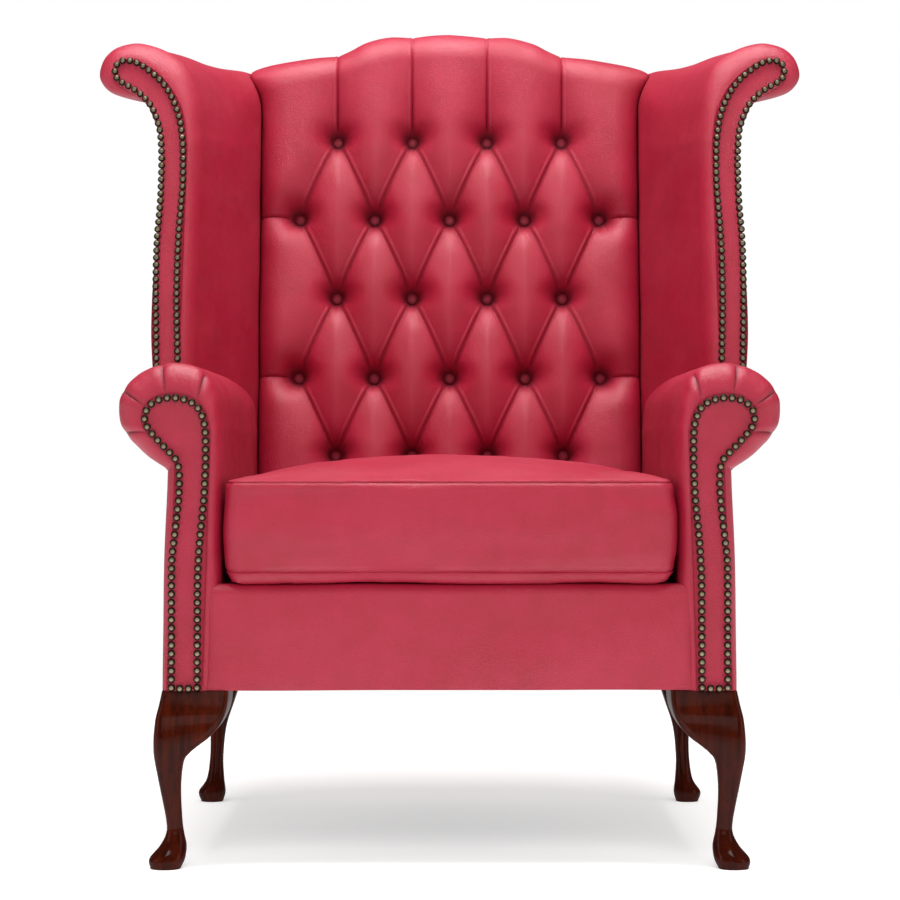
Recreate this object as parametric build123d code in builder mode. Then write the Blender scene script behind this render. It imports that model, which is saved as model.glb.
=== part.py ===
from build123d import *
from math import cos, radians, sin, tan
import os

os.makedirs("parts", exist_ok=True)

# The chair faces minus Y and stands on z = 0. Left is at minus X, as seen from the front.
# Every piece of the left side is made first, and its twin is the mirror image.
# Sizes are in millimetres. A depth is measured backwards from the plane of the front toes.

# Whole chair
chair_height = 1058
chair_depth = 776
leg_height = 203

# Raked back. Its frame's front face is the plane that the whole back is measured from.
back_rake = 9
back_foot_depth = 601.5

# Seat frame, in 28 mm hardwood
frame_half_width = 312
frame_front_depth = 40
rail_thickness = 28
rail_height = 95
post_thickness = 32
post_width = 30
base_half_width = 325
base_swell = 1.5

# Clearances and overruns
seat_clearance = 0.3
screw_clearance = 0.2
overrun = 60

# Arms: the scroll's profile is given in shares of its width and its height above the neck
arm_inside = 262
arm_width = 113.6
arm_neck_height = 455
arm_roll_height = 122
arm_front_depth = 8
facing_thickness = 5
facing_foot_inset = 20
facing_outer_inset = 4
arm_rail_width = 70
arm_rail_height = 38
arm_rail_rise = 33
arm_post_depth = 40
arm_roll_shares = [
    (0.489, 0.0), (0.739, 0.164), (0.951, 0.39), (1.0, 0.56), (0.951, 0.745),
    (0.775, 0.92), (0.484, 1.0), (0.215, 0.94), (0.05, 0.73), (0.0, 0.41),
]
arm_facing_shares = [
    (0.453, 0.057), (0.634, 0.238), (0.757, 0.377), (0.788, 0.492), (0.757, 0.6),
    (0.651, 0.685), (0.484, 0.715), (0.282, 0.68), (0.145, 0.55), (0.093, 0.369),
]

# Wings: the same, with the profile drawn in a plane parallel to the back
wing_reach = 347
wing_top_height = 996
wing_roll_height = 70
wing_inside = 331
wing_width = 114
wing_flare = 12.9
wing_panel_flare = 7.2
wing_rise = 3.3
wing_wall = 11
wing_post_width = 22
wing_post_depth = 36
wing_rail_inset = 12
wing_rail_width = 56
wing_rail_height = 26
wing_rail_drop = 30
wing_nose_depth = 25
wing_roll_shares = [
    (0.544, 0.0), (0.87, 0.09), (0.985, 0.2), (1.05, 0.43), (1.01, 0.75), (0.9, 0.914),
    (0.75, 0.986), (0.596, 1.0), (0.333, 0.9), (0.105, 0.571), (-0.018, 0.057),
]
wing_facing_shares = [
    (0.601, 0.064), (0.728, 0.207), (0.816, 0.293), (0.868, 0.443), (0.868, 0.586), (0.807, 0.729),
    (0.684, 0.786), (0.531, 0.7), (0.333, 0.457), (0.184, 0.136), (0.088, -0.243),
]
wing_inner_shares = [(-0.06, -0.66), (0.0, -6.09)]
wing_facing_inner_shares = [(0.044, -0.8), (0.105, -6.09)]
wing_outer_shares = [(0.42, -0.34), (0.35, -1.1), (0.43, -3.65), (0.412, -4.8), (0.307, -6.09)]
wing_facing_outer_shares = [(0.456, -0.19), (0.33, -1.1), (0.4, -3.65), (0.385, -4.8), (0.29, -6.09)]

# The rounded front of an arm or a wing: how far each section lies back, and how far it has grown
nose_back_shares = [0.0, 0.12, 0.45, 1.0]
nose_growth_shares = [1.0, 0.53, 0.165, 0.0]

# Inside back: leather and stuffing from the webbing to the tops of the tufts
pad_half_width = 262
strap_thickness = 1.5
strap_width = 50
strap_bands = 4
strap_uprights = 3
groove_height = 46
tuft_rise = 32
tuft_inset_shares = [0.0, 0.1, 0.26, 0.55, 1.0]
tuft_rise_shares = [0.0, 0.42, 0.72, 0.92, 1.0]
button_pitch = 104
button_row_pitch = 111
top_row_height = 710
button_rows = 5
button_radius = 9.5
button_thickness = 8
button_sides = 12
button_taper = 30
dimple_flare = 10
dimple_depth = 12
crest_height = 860
crest_roll = 25
crest_shares = [(1.0, 0.944), (0.653, 0.966), (0.523, 0.9755), (0.458, 0.986), (0.328, 0.9955)]
crest_pleat_shares = [0.991, 0.955, 0.934]
outside_thickness = 6
lower_rail_height = 180
cross_rail_height = 70

# Seat: springs on the rails, platform on the springs, loose cushion on the platform
spring_wire = 4
spring_width = 44
spring_pitch = 100
spring_count = 5
spring_bends = 10
clip_width = 18
clip_length = 24
clip_height = 7
platform_height = 325.7
border_front_depth = 14
border_height = 118
border_nose = 12
lip_length = 30
cushion_half_width = 260.5
cushion_front_depth = 6
cushion_back_gap = 2
cushion_side_height = 115
cushion_crown = 29
cushion_corner = 34
cushion_case = 3
seam_draw = 6.5
cushion_wall_shares = [(0.0, 2.4), (0.035, 1.3), (0.12, 0.6), (0.5, 0.0), (0.9, 0.5), (1.0, 1.0)]
cushion_crown_shares = [(0.0, 1.0), (0.42, 4.2), (0.8, 13.0), (0.97, 25.0)]
dust_cover_thickness = 1.5

# Front legs: each section's height, outer face and inner face, measured from the base's corner
front_block = 76
front_leg_heights_shares = [1.0, 0.85, 0.734, 0.665, 0.596, 0.45, 0.271, 0.192, 0.123, 0.054, 0.0]
front_leg_outer_shares = [
    0.0, -0.086, -0.114, -0.114, -0.099, -0.031, 0.059, 0.066, -0.024, -0.15, -0.118,
]
front_leg_inner_shares = [1.0, 0.908, 0.56, 0.365, 0.3, 0.28, 0.296, 0.322, 0.36, 0.345, 0.28]
front_leg_round_shares = [0.08, 0.1, 0.18, 0.26, 0.34, 0.42, 0.46, 0.46, 0.46, 0.47, 0.47]

# Rear legs: each section's height, its middle and its width and depth
rear_block = 50
rear_leg_heights_shares = [1.0, 0.84, 0.67, 0.5, 0.3, 0.15, 0.065, 0.0]
rear_leg_out_shares = [0.0, 0.04, 0.13, 0.26, 0.3, 0.33, 0.43, 0.43]
rear_leg_back_shares = [0.0, 0.0, -0.05, -0.19, -0.33, -0.4, -0.44, -0.44]
rear_leg_width_shares = [1.0, 0.93, 0.62, 0.43, 0.36, 0.5, 0.76, 0.62]
rear_leg_round_shares = [0.12, 0.16, 0.26, 0.38, 0.44, 0.46, 0.47, 0.47]

# Fastenings
screw_radius = 4
screw_in_leg = 35
screw_in_frame = 60
screw_inset = 60
rear_screw_inset = 20
dowel_inset = 8
block_leg = 55
block_gap = 5
dowel_radius = 5
dowel_reach = 22
peg_sides = 8
dowel_clearance = 0.1
dowel_spacing_share = 0.5

rail_top = leg_height + rail_height
arm_rail_bottom = arm_neck_height + arm_rail_rise
arm_rail_top = arm_rail_bottom + arm_rail_height
frame_inside = frame_half_width - rail_thickness
post_inside = frame_half_width - post_width
wing_neck_height = wing_top_height - wing_roll_height
wing_rail_top = wing_top_height - wing_rail_drop
wing_rail_bottom = wing_rail_top - wing_rail_height
button_depth = groove_height - dimple_depth
spring_bottom = rail_top + (clip_height - spring_wire) / 2
platform_bottom = spring_bottom + spring_wire + seat_clearance
nose_length = frame_front_depth - arm_front_depth - facing_thickness


def depth(behind):
    """Y of a place this far behind the plane of the front toes."""
    return behind - chair_depth / 2


def upright(behind):
    """Upright plane across the chair, this far behind the front toes, facing forwards."""
    return Plane(origin=(0, depth(behind), 0), x_dir=(1, 0, 0), z_dir=(0, -1, 0))


back_plane = Plane(
    origin=(0, depth(back_foot_depth), leg_height),
    x_dir=(1, 0, 0),
    z_dir=(0, -cos(radians(back_rake)), sin(radians(back_rake))),
)


def raked(reach):
    """Plane parallel to the back, this far in front of the back frame."""
    return back_plane.offset(reach)


def along(height, reach):
    """Place of a true height up a raked plane."""
    rise = height - leg_height - reach * sin(radians(back_rake))
    return rise / cos(radians(back_rake))


def frame_depth_at(height):
    """How far behind the front toes the back frame's face lies at this height."""
    return back_foot_depth + (height - leg_height) * tan(radians(back_rake))


def blend(full, small, growth):
    """Pairs of shares part of the way from the full outline to the small one."""
    return [(a[0] + (b[0] - a[0]) * growth, a[1] + (b[1] - a[1]) * growth) for a, b in zip(full, small)]


def save(piece, name):
    """Label a finished piece and write it to its file."""
    piece.part.label = name
    export_step(piece.part, f"parts/{name}.step")


def save_pair(left, name):
    """Write a left piece and its mirror image as two nodes."""
    with BuildPart() as right:
        mirror(left.part, about=Plane.YZ)
    save(left, f"left_{name}")
    save(right, f"right_{name}")


def arm_section(plane, growth):
    """Whole outline of an arm across its run: growth 0 is the arm, 1 is the facing on its front."""
    shares = blend(arm_roll_shares, arm_facing_shares, growth)
    roll = [(-arm_inside - arm_width * x, arm_neck_height + arm_roll_height * z) for x, z in shares]
    inner_foot = (-arm_inside - facing_foot_inset * growth, leg_height)
    outer_foot = (-base_half_width + facing_outer_inset * growth, leg_height)
    swell = -base_half_width - base_swell + (base_swell + facing_outer_inset) * growth
    with BuildSketch(plane) as section:
        with BuildLine():
            Spline(*roll, tangents=[(-1, 0.5), (0, -1)])
            Line(roll[-1], inner_foot)
            Line(inner_foot, outer_foot)
            ThreePointArc(outer_foot, (swell, (leg_height + arm_neck_height) / 2), roll[0])
        make_face()
    return section.sketch


def wing_point(share, reach):
    """Place on a raked plane of a point of the wing's outline, moved inwards by the flare."""
    flared = (wing_reach - reach) / cos(radians(back_rake)) * tan(radians(wing_flare))
    height = wing_neck_height + wing_roll_height * share[1]
    return (-wing_inside - wing_width * share[0] + flared, along(height, reach))


def wing_section(reach, growth):
    """Whole outline of a wing on a raked plane: growth 0 is the wing, 1 is the facing on its front."""
    roll = [wing_point(s, reach) for s in blend(wing_roll_shares, wing_facing_shares, growth)]
    outer = [wing_point(s, reach) for s in blend(wing_outer_shares, wing_facing_outer_shares, growth)]
    inner = [wing_point(s, reach) for s in blend(wing_inner_shares, wing_facing_inner_shares, growth)]
    with BuildSketch(raked(reach)) as section:
        with BuildLine():
            Spline(*roll, inner[0])
            Line(inner[0], inner[1])
            Line(inner[1], outer[-1])
            Spline(*reversed(outer), roll[0])
        make_face()
    return section.sketch


# Front legs: a square block under the seat frame runs out into knee returns, turns in through
# the S of the cabriole to a thin ankle and spreads into a pad foot with a flat sole.
front_leg_sections = []
for height, outer, inner, roundness in zip(
    front_leg_heights_shares, front_leg_outer_shares, front_leg_inner_shares, front_leg_round_shares
):
    width = (inner - outer) * front_block
    middle = (inner + outer) / 2 * front_block
    with BuildSketch(Plane.XY.offset(height * leg_height)) as leg_section:
        with Locations((middle - base_half_width, depth(border_front_depth) + middle)):
            RectangleRounded(width, width, roundness * width)
    front_leg_sections.append(leg_section.sketch)
with BuildPart() as front_leg:
    loft(front_leg_sections[:2], ruled=True)
    loft(front_leg_sections[1:])
    with Locations((screw_inset - base_half_width, depth(border_front_depth) + screw_inset, leg_height)):
        Hole(screw_radius, screw_in_leg)
save_pair(front_leg, "front_leg")

# Rear legs: slim, rounded and swept a little, with the same foot.
rear_leg_x = -base_half_width + rear_block / 2
rear_leg_depth = back_foot_depth + post_thickness / 2
rear_screw_x = -frame_half_width + rear_screw_inset
with BuildPart() as rear_leg:
    for height, out, back, width, roundness in zip(
        rear_leg_heights_shares,
        rear_leg_out_shares,
        rear_leg_back_shares,
        rear_leg_width_shares,
        rear_leg_round_shares,
    ):
        side = width * rear_block
        with BuildSketch(Plane.XY.offset(height * leg_height)):
            with Locations((rear_leg_x - out * rear_block, depth(rear_leg_depth) + back * rear_block)):
                RectangleRounded(side, side, roundness * side)
    loft()
    with Locations((rear_screw_x, depth(rear_leg_depth), leg_height)):
        Hole(screw_radius, screw_in_leg)
save_pair(rear_leg, "rear_leg")

# Hanger bolts: one in each leg, up into the corner blocks in front and the back posts behind.
with BuildPart() as leg_screws:
    with BuildSketch(Plane.XY.offset(leg_height - screw_in_leg)):
        with Locations(
            (screw_inset - base_half_width, depth(border_front_depth) + screw_inset),
            (rear_screw_x, depth(rear_leg_depth)),
        ):
            Circle(screw_radius - screw_clearance)
    extrude(amount=screw_in_leg + screw_in_frame)
    mirror(about=Plane.YZ)
save(leg_screws, "leg_screws")

# Frame dowels, and the bores for them: front rail to side rail, side rail to back post, side
# rail to arm post and arm post to arm rail.
dowel_x = -frame_half_width + dowel_inset
dowel_low = leg_height + rail_height * (1 - dowel_spacing_share) / 2
dowel_heights = (dowel_low, dowel_low + rail_height * dowel_spacing_share)


def dowel_set(radius):
    """The left side's dowels as solids of this radius."""
    with BuildPart() as dowels:
        with BuildSketch(Plane.YZ.offset(-frame_inside)):
            with Locations(*[(depth(frame_front_depth + rail_thickness / 2), z) for z in dowel_heights]):
                RegularPolygon(radius, peg_sides)
        extrude(amount=dowel_reach, both=True)
        for height in dowel_heights:
            with BuildSketch(upright(frame_depth_at(height))):
                with Locations((dowel_x, height)):
                    RegularPolygon(radius, peg_sides)
            extrude(amount=dowel_reach, both=True)
        for joint in (rail_top, arm_rail_bottom):
            with BuildSketch(Plane.XY.offset(joint)):
                with Locations((dowel_x, depth(frame_front_depth + arm_post_depth / 2))):
                    RegularPolygon(radius, peg_sides)
            extrude(amount=dowel_reach, both=True)
    return dowels.part


bores = dowel_set(dowel_radius)
with BuildPart() as frame_dowels:
    add(dowel_set(dowel_radius - dowel_clearance))
    mirror(about=Plane.YZ)
save(frame_dowels, "frame_dowels")

# Seat frame: side rails, front rail between them and a raked rear rail between the back posts.
with BuildPart() as seat_rail:
    with BuildSketch(upright(frame_front_depth)):
        with Locations((-frame_inside - rail_thickness / 2, leg_height + rail_height / 2)):
            Rectangle(rail_thickness, rail_height)
    extrude(amount=-chair_depth)
    split(bisect_by=raked(0), keep=Keep.TOP)
    add(bores, mode=Mode.SUBTRACT)
save_pair(seat_rail, "seat_rail")

with BuildPart() as front_seat_rail:
    with BuildSketch(upright(frame_front_depth)):
        with Locations((0, leg_height + rail_height / 2)):
            Rectangle(2 * frame_inside, rail_height)
    extrude(amount=-rail_thickness)
    add(bores, mode=Mode.SUBTRACT)
    add(mirror(bores, about=Plane.YZ, mode=Mode.PRIVATE), mode=Mode.SUBTRACT)
save(front_seat_rail, "front_seat_rail")

with BuildPart() as rear_seat_rail:
    with BuildSketch(raked(0)):
        Rectangle(2 * post_inside, 2 * (rail_height + overrun))
    extrude(amount=-post_thickness)
    split(bisect_by=Plane.XY.offset(leg_height), keep=Keep.TOP)
    split(bisect_by=Plane.XY.offset(rail_top), keep=Keep.BOTTOM)
save(rear_seat_rail, "rear_seat_rail")

with BuildPart() as corner_blocks:
    front_corner = (-frame_inside, depth(frame_front_depth + rail_thickness))
    with BuildSketch(Plane.XY.offset(leg_height)):
        with BuildLine():
            Polyline(
                front_corner,
                (front_corner[0] + block_leg, front_corner[1]),
                (front_corner[0], front_corner[1] + block_leg),
                close=True,
            )
        make_face()
    extrude(amount=rail_height - block_gap)
    with Locations((screw_inset - base_half_width, depth(border_front_depth) + screw_inset, leg_height)):
        Cylinder(
            screw_radius,
            screw_in_frame,
            align=(Align.CENTER, Align.CENTER, Align.MIN),
            mode=Mode.SUBTRACT,
        )
    rear_corner_y = depth(back_foot_depth)
    with BuildSketch(Plane.XY.offset(leg_height)):
        with BuildLine():
            Polyline(
                (-post_inside, rear_corner_y + overrun),
                (-post_inside, rear_corner_y - block_leg),
                (-post_inside + block_leg, rear_corner_y),
                (-post_inside + block_leg, rear_corner_y + overrun),
                close=True,
            )
        make_face()
    extrude(amount=rail_height - block_gap)
    split(bisect_by=raked(0), keep=Keep.TOP)
    mirror(about=Plane.YZ)
save(corner_blocks, "corner_blocks")

# Back posts: raked uprights that stand on the rear legs.
post_top = crest_height * crest_shares[0][1] - crest_roll
with BuildPart() as back_post:
    with BuildSketch(raked(0)):
        with Locations((-frame_half_width + post_width / 2, post_top / 2 - overrun / 2)):
            Rectangle(post_width, post_top + overrun)
    extrude(amount=-post_thickness)
    split(bisect_by=Plane.XY.offset(leg_height), keep=Keep.TOP)
    add(bores, mode=Mode.SUBTRACT)
    with BuildSketch(Plane.XY.offset(leg_height)):
        with Locations((rear_screw_x, depth(rear_leg_depth))):
            Circle(screw_radius)
    extrude(amount=screw_in_frame, mode=Mode.SUBTRACT)
save_pair(back_post, "back_post")

with BuildPart() as lower_back_rail:
    with BuildSketch(raked(0)):
        with Locations((0, lower_rail_height + cross_rail_height / 2)):
            Rectangle(2 * post_inside, cross_rail_height)
    extrude(amount=-rail_thickness)
save(lower_back_rail, "lower_back_rail")


def crest_line(drop):
    """Points of the serpentine crest from left to right, lowered by a drop."""
    left = [(-pad_half_width * x, crest_height * up - drop) for x, up in crest_shares]
    return [*left, (0, crest_height - drop), *[(-x, up) for x, up in reversed(left)]]


with BuildPart() as top_back_rail:
    crest = crest_line(crest_roll)
    with BuildSketch(raked(0)):
        with BuildLine():
            Spline(*crest)
            Polyline(
                crest[-1],
                (post_inside, crest[-1][1]),
                (post_inside, crest[-1][1] - cross_rail_height),
                (-post_inside, crest[0][1] - cross_rail_height),
                (-post_inside, crest[0][1]),
                crest[0],
            )
        make_face()
    extrude(amount=-rail_thickness)
save(top_back_rail, "top_back_rail")

# The space that the back frame fills: arms and wings that run past it are cut away here.
with BuildPart() as frame_zone:
    with BuildSketch(raked(0)):
        with Locations((-frame_half_width / 2, post_top / 2 - overrun / 2)):
            Rectangle(frame_half_width, post_top + overrun)
    extrude(amount=-post_thickness - overrun)

# Arm frame: an upright behind each facing carries the rail inside the scroll.
arm_rail_outside = frame_inside + arm_rail_width
with BuildPart() as arm_post:
    with BuildSketch(upright(frame_front_depth)):
        with Locations((-frame_inside - rail_thickness / 2, (rail_top + arm_rail_bottom) / 2)):
            Rectangle(rail_thickness, arm_rail_bottom - rail_top)
    extrude(amount=-arm_post_depth)
    add(bores, mode=Mode.SUBTRACT)
save_pair(arm_post, "arm_post")

with BuildPart() as arm_rail:
    with BuildSketch(upright(frame_front_depth)):
        with Locations((-frame_inside - arm_rail_width / 2, (arm_rail_bottom + arm_rail_top) / 2)):
            Rectangle(arm_rail_width, arm_rail_height)
    extrude(amount=-chair_depth)
    split(bisect_by=raked(-post_thickness), keep=Keep.TOP)
    add(frame_zone.part, mode=Mode.SUBTRACT)
    add(bores, mode=Mode.SUBTRACT)
save_pair(arm_rail, "arm_rail")

# Wing frame: an upright on the arm rail carries the rail inside the wing's scroll.
wing_core_inside = wing_inside + wing_wall
wing_core_outside = wing_core_inside + wing_post_width
wing_frame_reach = wing_reach - facing_thickness - wing_nose_depth
wing_run = (wing_reach + post_thickness + overrun) / cos(radians(back_rake)) / cos(radians(wing_flare))
wing_back = (tan(radians(wing_flare)), 1, tan(radians(wing_rise)))
wing_post_back = (tan(radians(wing_flare)), 1, 0)
wing_rail_inside = wing_core_inside + wing_rail_inset
wing_rail_outside = wing_rail_inside + wing_rail_width
panel_back = (tan(radians(wing_panel_flare)), 1, tan(radians(wing_rise)))


def wing_frame_point(across, height):
    """Place on the wing frame's front plane of a distance from the middle and a true height."""
    flared = (wing_reach - wing_frame_reach) / cos(radians(back_rake)) * tan(radians(wing_flare))
    return (-across + flared, along(height, wing_frame_reach))


with BuildPart() as wing_post:
    with BuildSketch(raked(wing_frame_reach)):
        with BuildLine():
            Polyline(
                wing_frame_point(wing_core_inside, arm_rail_top),
                wing_frame_point(wing_core_outside, arm_rail_top),
                wing_frame_point(wing_core_outside, wing_rail_bottom),
                wing_frame_point(wing_core_inside, wing_rail_bottom),
                close=True,
            )
        make_face()
    extrude(amount=wing_post_depth, dir=wing_post_back)
save_pair(wing_post, "wing_post")

with BuildPart() as wing_rail:
    with BuildSketch(raked(wing_frame_reach)):
        with BuildLine():
            Polyline(
                wing_frame_point(wing_rail_inside, wing_rail_bottom),
                wing_frame_point(wing_rail_outside, wing_rail_bottom),
                wing_frame_point(wing_rail_outside, wing_rail_top),
                wing_frame_point(wing_rail_inside, wing_rail_top),
                close=True,
            )
        make_face()
    extrude(amount=wing_run, dir=wing_back)
    split(bisect_by=raked(-post_thickness), keep=Keep.TOP)
    add(frame_zone.part, mode=Mode.SUBTRACT)
save_pair(wing_rail, "wing_rail")

# Arms: one scroll profile runs back from a rounded nose. The pad wraps the frame inside it.
facing_back_depth = arm_front_depth + facing_thickness
arm_nose = [
    arm_section(upright(facing_back_depth + back * nose_length), growth)
    for back, growth in zip(nose_back_shares, nose_growth_shares)
]
with BuildPart() as arm_envelope:
    loft(arm_nose)
    extrude(arm_nose[-1], amount=-chair_depth)

with BuildPart() as arm_pad:
    loft(arm_nose)
    roll = [(-arm_inside - arm_width * x, arm_neck_height + arm_roll_height * z) for x, z in arm_roll_shares]
    with BuildSketch(upright(frame_front_depth)):
        with BuildLine():
            Spline(*roll, tangents=[(-1, 0.5), (0, -1)])
            Polyline(
                roll[-1],
                (-arm_inside, rail_top),
                (-frame_inside, rail_top),
                (-frame_inside, arm_rail_top),
                (-arm_rail_outside, arm_rail_top),
                (-arm_rail_outside, arm_rail_bottom),
                (-frame_half_width, arm_rail_bottom),
                (-frame_half_width, arm_neck_height),
                roll[0],
            )
        make_face()
    extrude(amount=-chair_depth)
    split(bisect_by=raked(-post_thickness), keep=Keep.TOP)
    add(frame_zone.part, mode=Mode.SUBTRACT)
    add(wing_post.part, mode=Mode.SUBTRACT)
save_pair(arm_pad, "arm_pad")

with BuildPart() as arm_facing:
    extrude(arm_section(upright(facing_back_depth), 1), amount=facing_thickness)
save_pair(arm_facing, "arm_facing")

with BuildPart() as outside_arm:
    outer_foot = (-base_half_width, leg_height)
    outer_middle = (-base_half_width - base_swell, (leg_height + arm_neck_height) / 2)
    with BuildSketch(upright(frame_front_depth)):
        with BuildLine():
            ThreePointArc(outer_foot, outer_middle, roll[0])
            Polyline(
                roll[0],
                (-frame_half_width, arm_neck_height),
                (-frame_half_width, leg_height),
                outer_foot,
            )
        make_face()
    extrude(amount=-chair_depth)
    split(bisect_by=raked(-post_thickness), keep=Keep.TOP)
save_pair(outside_arm, "outside_arm")

# Wings: the same build, raked with the back, flared outwards and rising to it. They die into the arms.
wing_nose = [
    wing_section(wing_reach - facing_thickness - back * wing_nose_depth, growth)
    for back, growth in zip(nose_back_shares, nose_growth_shares)
]
with BuildPart() as wing_pad:
    loft(wing_nose)
    roll = [wing_point(s, wing_frame_reach) for s in wing_roll_shares]
    inner = [wing_point(s, wing_frame_reach) for s in wing_inner_shares]
    with BuildSketch(raked(wing_frame_reach)):
        with BuildLine():
            Spline(*roll, inner[0])
            Polyline(
                inner[0],
                inner[1],
                (wing_frame_point(wing_core_inside, wing_rail_top)[0], inner[1][1]),
                wing_frame_point(wing_core_inside, wing_rail_bottom),
                wing_frame_point(wing_rail_inside, wing_rail_bottom),
                wing_frame_point(wing_rail_inside, wing_rail_top),
                wing_frame_point(wing_rail_outside, wing_rail_top),
                wing_frame_point(wing_rail_outside, wing_rail_bottom),
                wing_frame_point(wing_core_outside, wing_rail_bottom),
                wing_frame_point(wing_core_outside, wing_neck_height),
                roll[0],
            )
        make_face()
    extrude(amount=wing_run, dir=wing_back)
    split(bisect_by=raked(-post_thickness), keep=Keep.TOP)
    split(bisect_by=Plane.YZ.offset(-pad_half_width), keep=Keep.BOTTOM)
    add(arm_envelope.part, mode=Mode.SUBTRACT)
    add(frame_zone.part, mode=Mode.SUBTRACT)
    add(wing_post.part, mode=Mode.SUBTRACT)
save_pair(wing_pad, "wing_pad")

with BuildPart() as wing_facing:
    extrude(wing_section(wing_reach - facing_thickness, 1), amount=facing_thickness)
    add(arm_envelope.part, mode=Mode.SUBTRACT)
save_pair(wing_facing, "wing_facing")

with BuildPart() as outside_wing:
    outer = [wing_point(s, wing_frame_reach) for s in wing_outer_shares]
    with BuildSketch(raked(wing_frame_reach)):
        with BuildLine():
            Spline(roll[0], *outer)
            Polyline(
                outer[-1],
                (wing_frame_point(wing_core_outside, wing_neck_height)[0], outer[-1][1]),
                wing_frame_point(wing_core_outside, wing_neck_height),
                roll[0],
            )
        make_face()
    extrude(amount=wing_run, dir=panel_back)
    split(bisect_by=raked(-post_thickness), keep=Keep.TOP)
    add(arm_envelope.part, mode=Mode.SUBTRACT)
save_pair(outside_wing, "outside_wing")

# Springing of the seat: zigzag springs in clips on the front and rear rails.
spring_front = frame_front_depth + rail_thickness / 2
spring_back = frame_depth_at(rail_top) + post_thickness / 2
spring_tail = clip_length
zigzag_step = (spring_back - spring_front - 2 * spring_tail) / (spring_bends + 1)
spring_places = [(i - (spring_count - 1) / 2) * spring_pitch for i in range(spring_count)]
with BuildPart() as seat_springs:
    for x in spring_places:
        bends = [
            ((-1) ** i * spring_width / 2, depth(spring_front + spring_tail + i * zigzag_step))
            for i in range(1, spring_bends + 1)
        ]
        with BuildSketch(Plane(origin=(x, 0, spring_bottom))):
            with BuildLine():
                Polyline(
                    (0, depth(spring_front)),
                    (0, depth(spring_front + spring_tail)),
                    *bends,
                    (0, depth(spring_back - spring_tail)),
                    (0, depth(spring_back)),
                )
            trace(line_width=spring_wire)
    extrude(amount=spring_wire)
save(seat_springs, "seat_springs")

with BuildPart() as spring_clips:
    clip_places = [(x, depth(y)) for x in spring_places for y in (spring_front, spring_back)]
    with BuildSketch(Plane.XY.offset(rail_top)):
        with Locations(*clip_places):
            Rectangle(clip_width, clip_length)
    extrude(amount=clip_height)
    with BuildSketch(Plane.XY.offset(spring_bottom)):
        with Locations(*clip_places):
            Rectangle(spring_wire, clip_length)
    extrude(amount=spring_wire, mode=Mode.SUBTRACT)
save(spring_clips, "spring_clips")

# Straps inside the back frame: uprights from rail to rail in front of bands from post to post.
strap_bottom = lower_rail_height + cross_rail_height
strap_top = post_top - cross_rail_height
strap_band_pitch = (strap_top - strap_bottom) / strap_bands
with BuildPart() as back_webbing:
    with BuildSketch(raked(-strap_thickness)):
        with Locations((0, (strap_bottom + strap_top) / 2)):
            with GridLocations(0, strap_band_pitch, 1, strap_bands):
                Rectangle(2 * post_inside, strap_width)
    extrude(amount=-strap_thickness)
    with BuildSketch(raked(0)):
        with Locations((0, (strap_bottom + strap_top) / 2)):
            with GridLocations(post_inside / 2, 0, strap_uprights, 1):
                Rectangle(strap_width, strap_top - strap_bottom)
    extrude(amount=-strap_thickness)
save(back_webbing, "back_webbing")

# Border: padded leather over the front rail, rounded along its top, with a lip onto the rail.
border_half_width = arm_inside + facing_foot_inset
with BuildPart() as front_border:
    with BuildSketch(Plane.XY.offset(leg_height)):
        with Locations((0, depth((border_front_depth + frame_front_depth) / 2))):
            Rectangle(2 * border_half_width, frame_front_depth - border_front_depth)
    extrude(amount=border_height)
    with BuildSketch(Plane.XY.offset(leg_height + border_height)):
        with Locations((0, depth(frame_front_depth + lip_length / 2))):
            Rectangle(2 * arm_inside, lip_length)
    extrude(amount=rail_top + clip_height - leg_height - border_height)
    fillet(front_border.edges().filter_by(Axis.X).group_by(Axis.Z)[-1].sort_by(Axis.Y)[0], border_nose)
    add(arm_envelope.part, mode=Mode.SUBTRACT)
    add(mirror(arm_envelope.part, about=Plane.YZ, mode=Mode.PRIVATE), mode=Mode.SUBTRACT)
save(front_border, "front_border")

# Platform: the padded deck on the springs.
with BuildPart() as seat_deck:
    with BuildSketch(Plane.XY.offset(platform_bottom)):
        with Locations((0, depth(frame_front_depth + lip_length + chair_depth / 2))):
            Rectangle(2 * arm_inside, chair_depth)
    extrude(amount=platform_height - platform_bottom)
    split(bisect_by=raked(0), keep=Keep.TOP)
save(seat_deck, "seat_deck")

# Loose cushion: drawn in at its two seams, full between them and crowned on top.
cushion_bottom = platform_height + seat_clearance
tuft_top = (groove_height + tuft_rise) / cos(radians(back_rake))
cushion_back_depth = frame_depth_at(platform_height) - tuft_top - cushion_back_gap
cushion_depth = cushion_back_depth - cushion_front_depth
cushion_middle = depth((cushion_front_depth + cushion_back_depth) / 2)


def cushion(skin, plain=False):
    """The cushion's body and crown, this far inside the leather's outer face."""
    floor = cushion_bottom + skin
    with BuildPart() as body:
        for rise, draw in cushion_wall_shares:
            inset = skin + draw * seam_draw
            with BuildSketch(Plane.XY.offset(floor + rise * (cushion_side_height - skin))):
                with Locations((0, cushion_middle)):
                    RectangleRounded(
                        2 * (cushion_half_width - inset), cushion_depth - 2 * inset, cushion_corner
                    )
        loft(ruled=plain)
        for rise, draw in cushion_crown_shares:
            inset = skin + draw * seam_draw
            with BuildSketch(
                Plane.XY.offset(cushion_bottom + cushion_side_height + rise * (cushion_crown - skin))
            ):
                with Locations((0, cushion_middle)):
                    RectangleRounded(
                        2 * (cushion_half_width - inset), cushion_depth - 2 * inset, cushion_corner
                    )
        loft(ruled=plain)
    return body.part


with BuildPart() as seat_cushion_core:
    add(cushion(cushion_case, plain=True))
save(seat_cushion_core, "seat_cushion_core")

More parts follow.
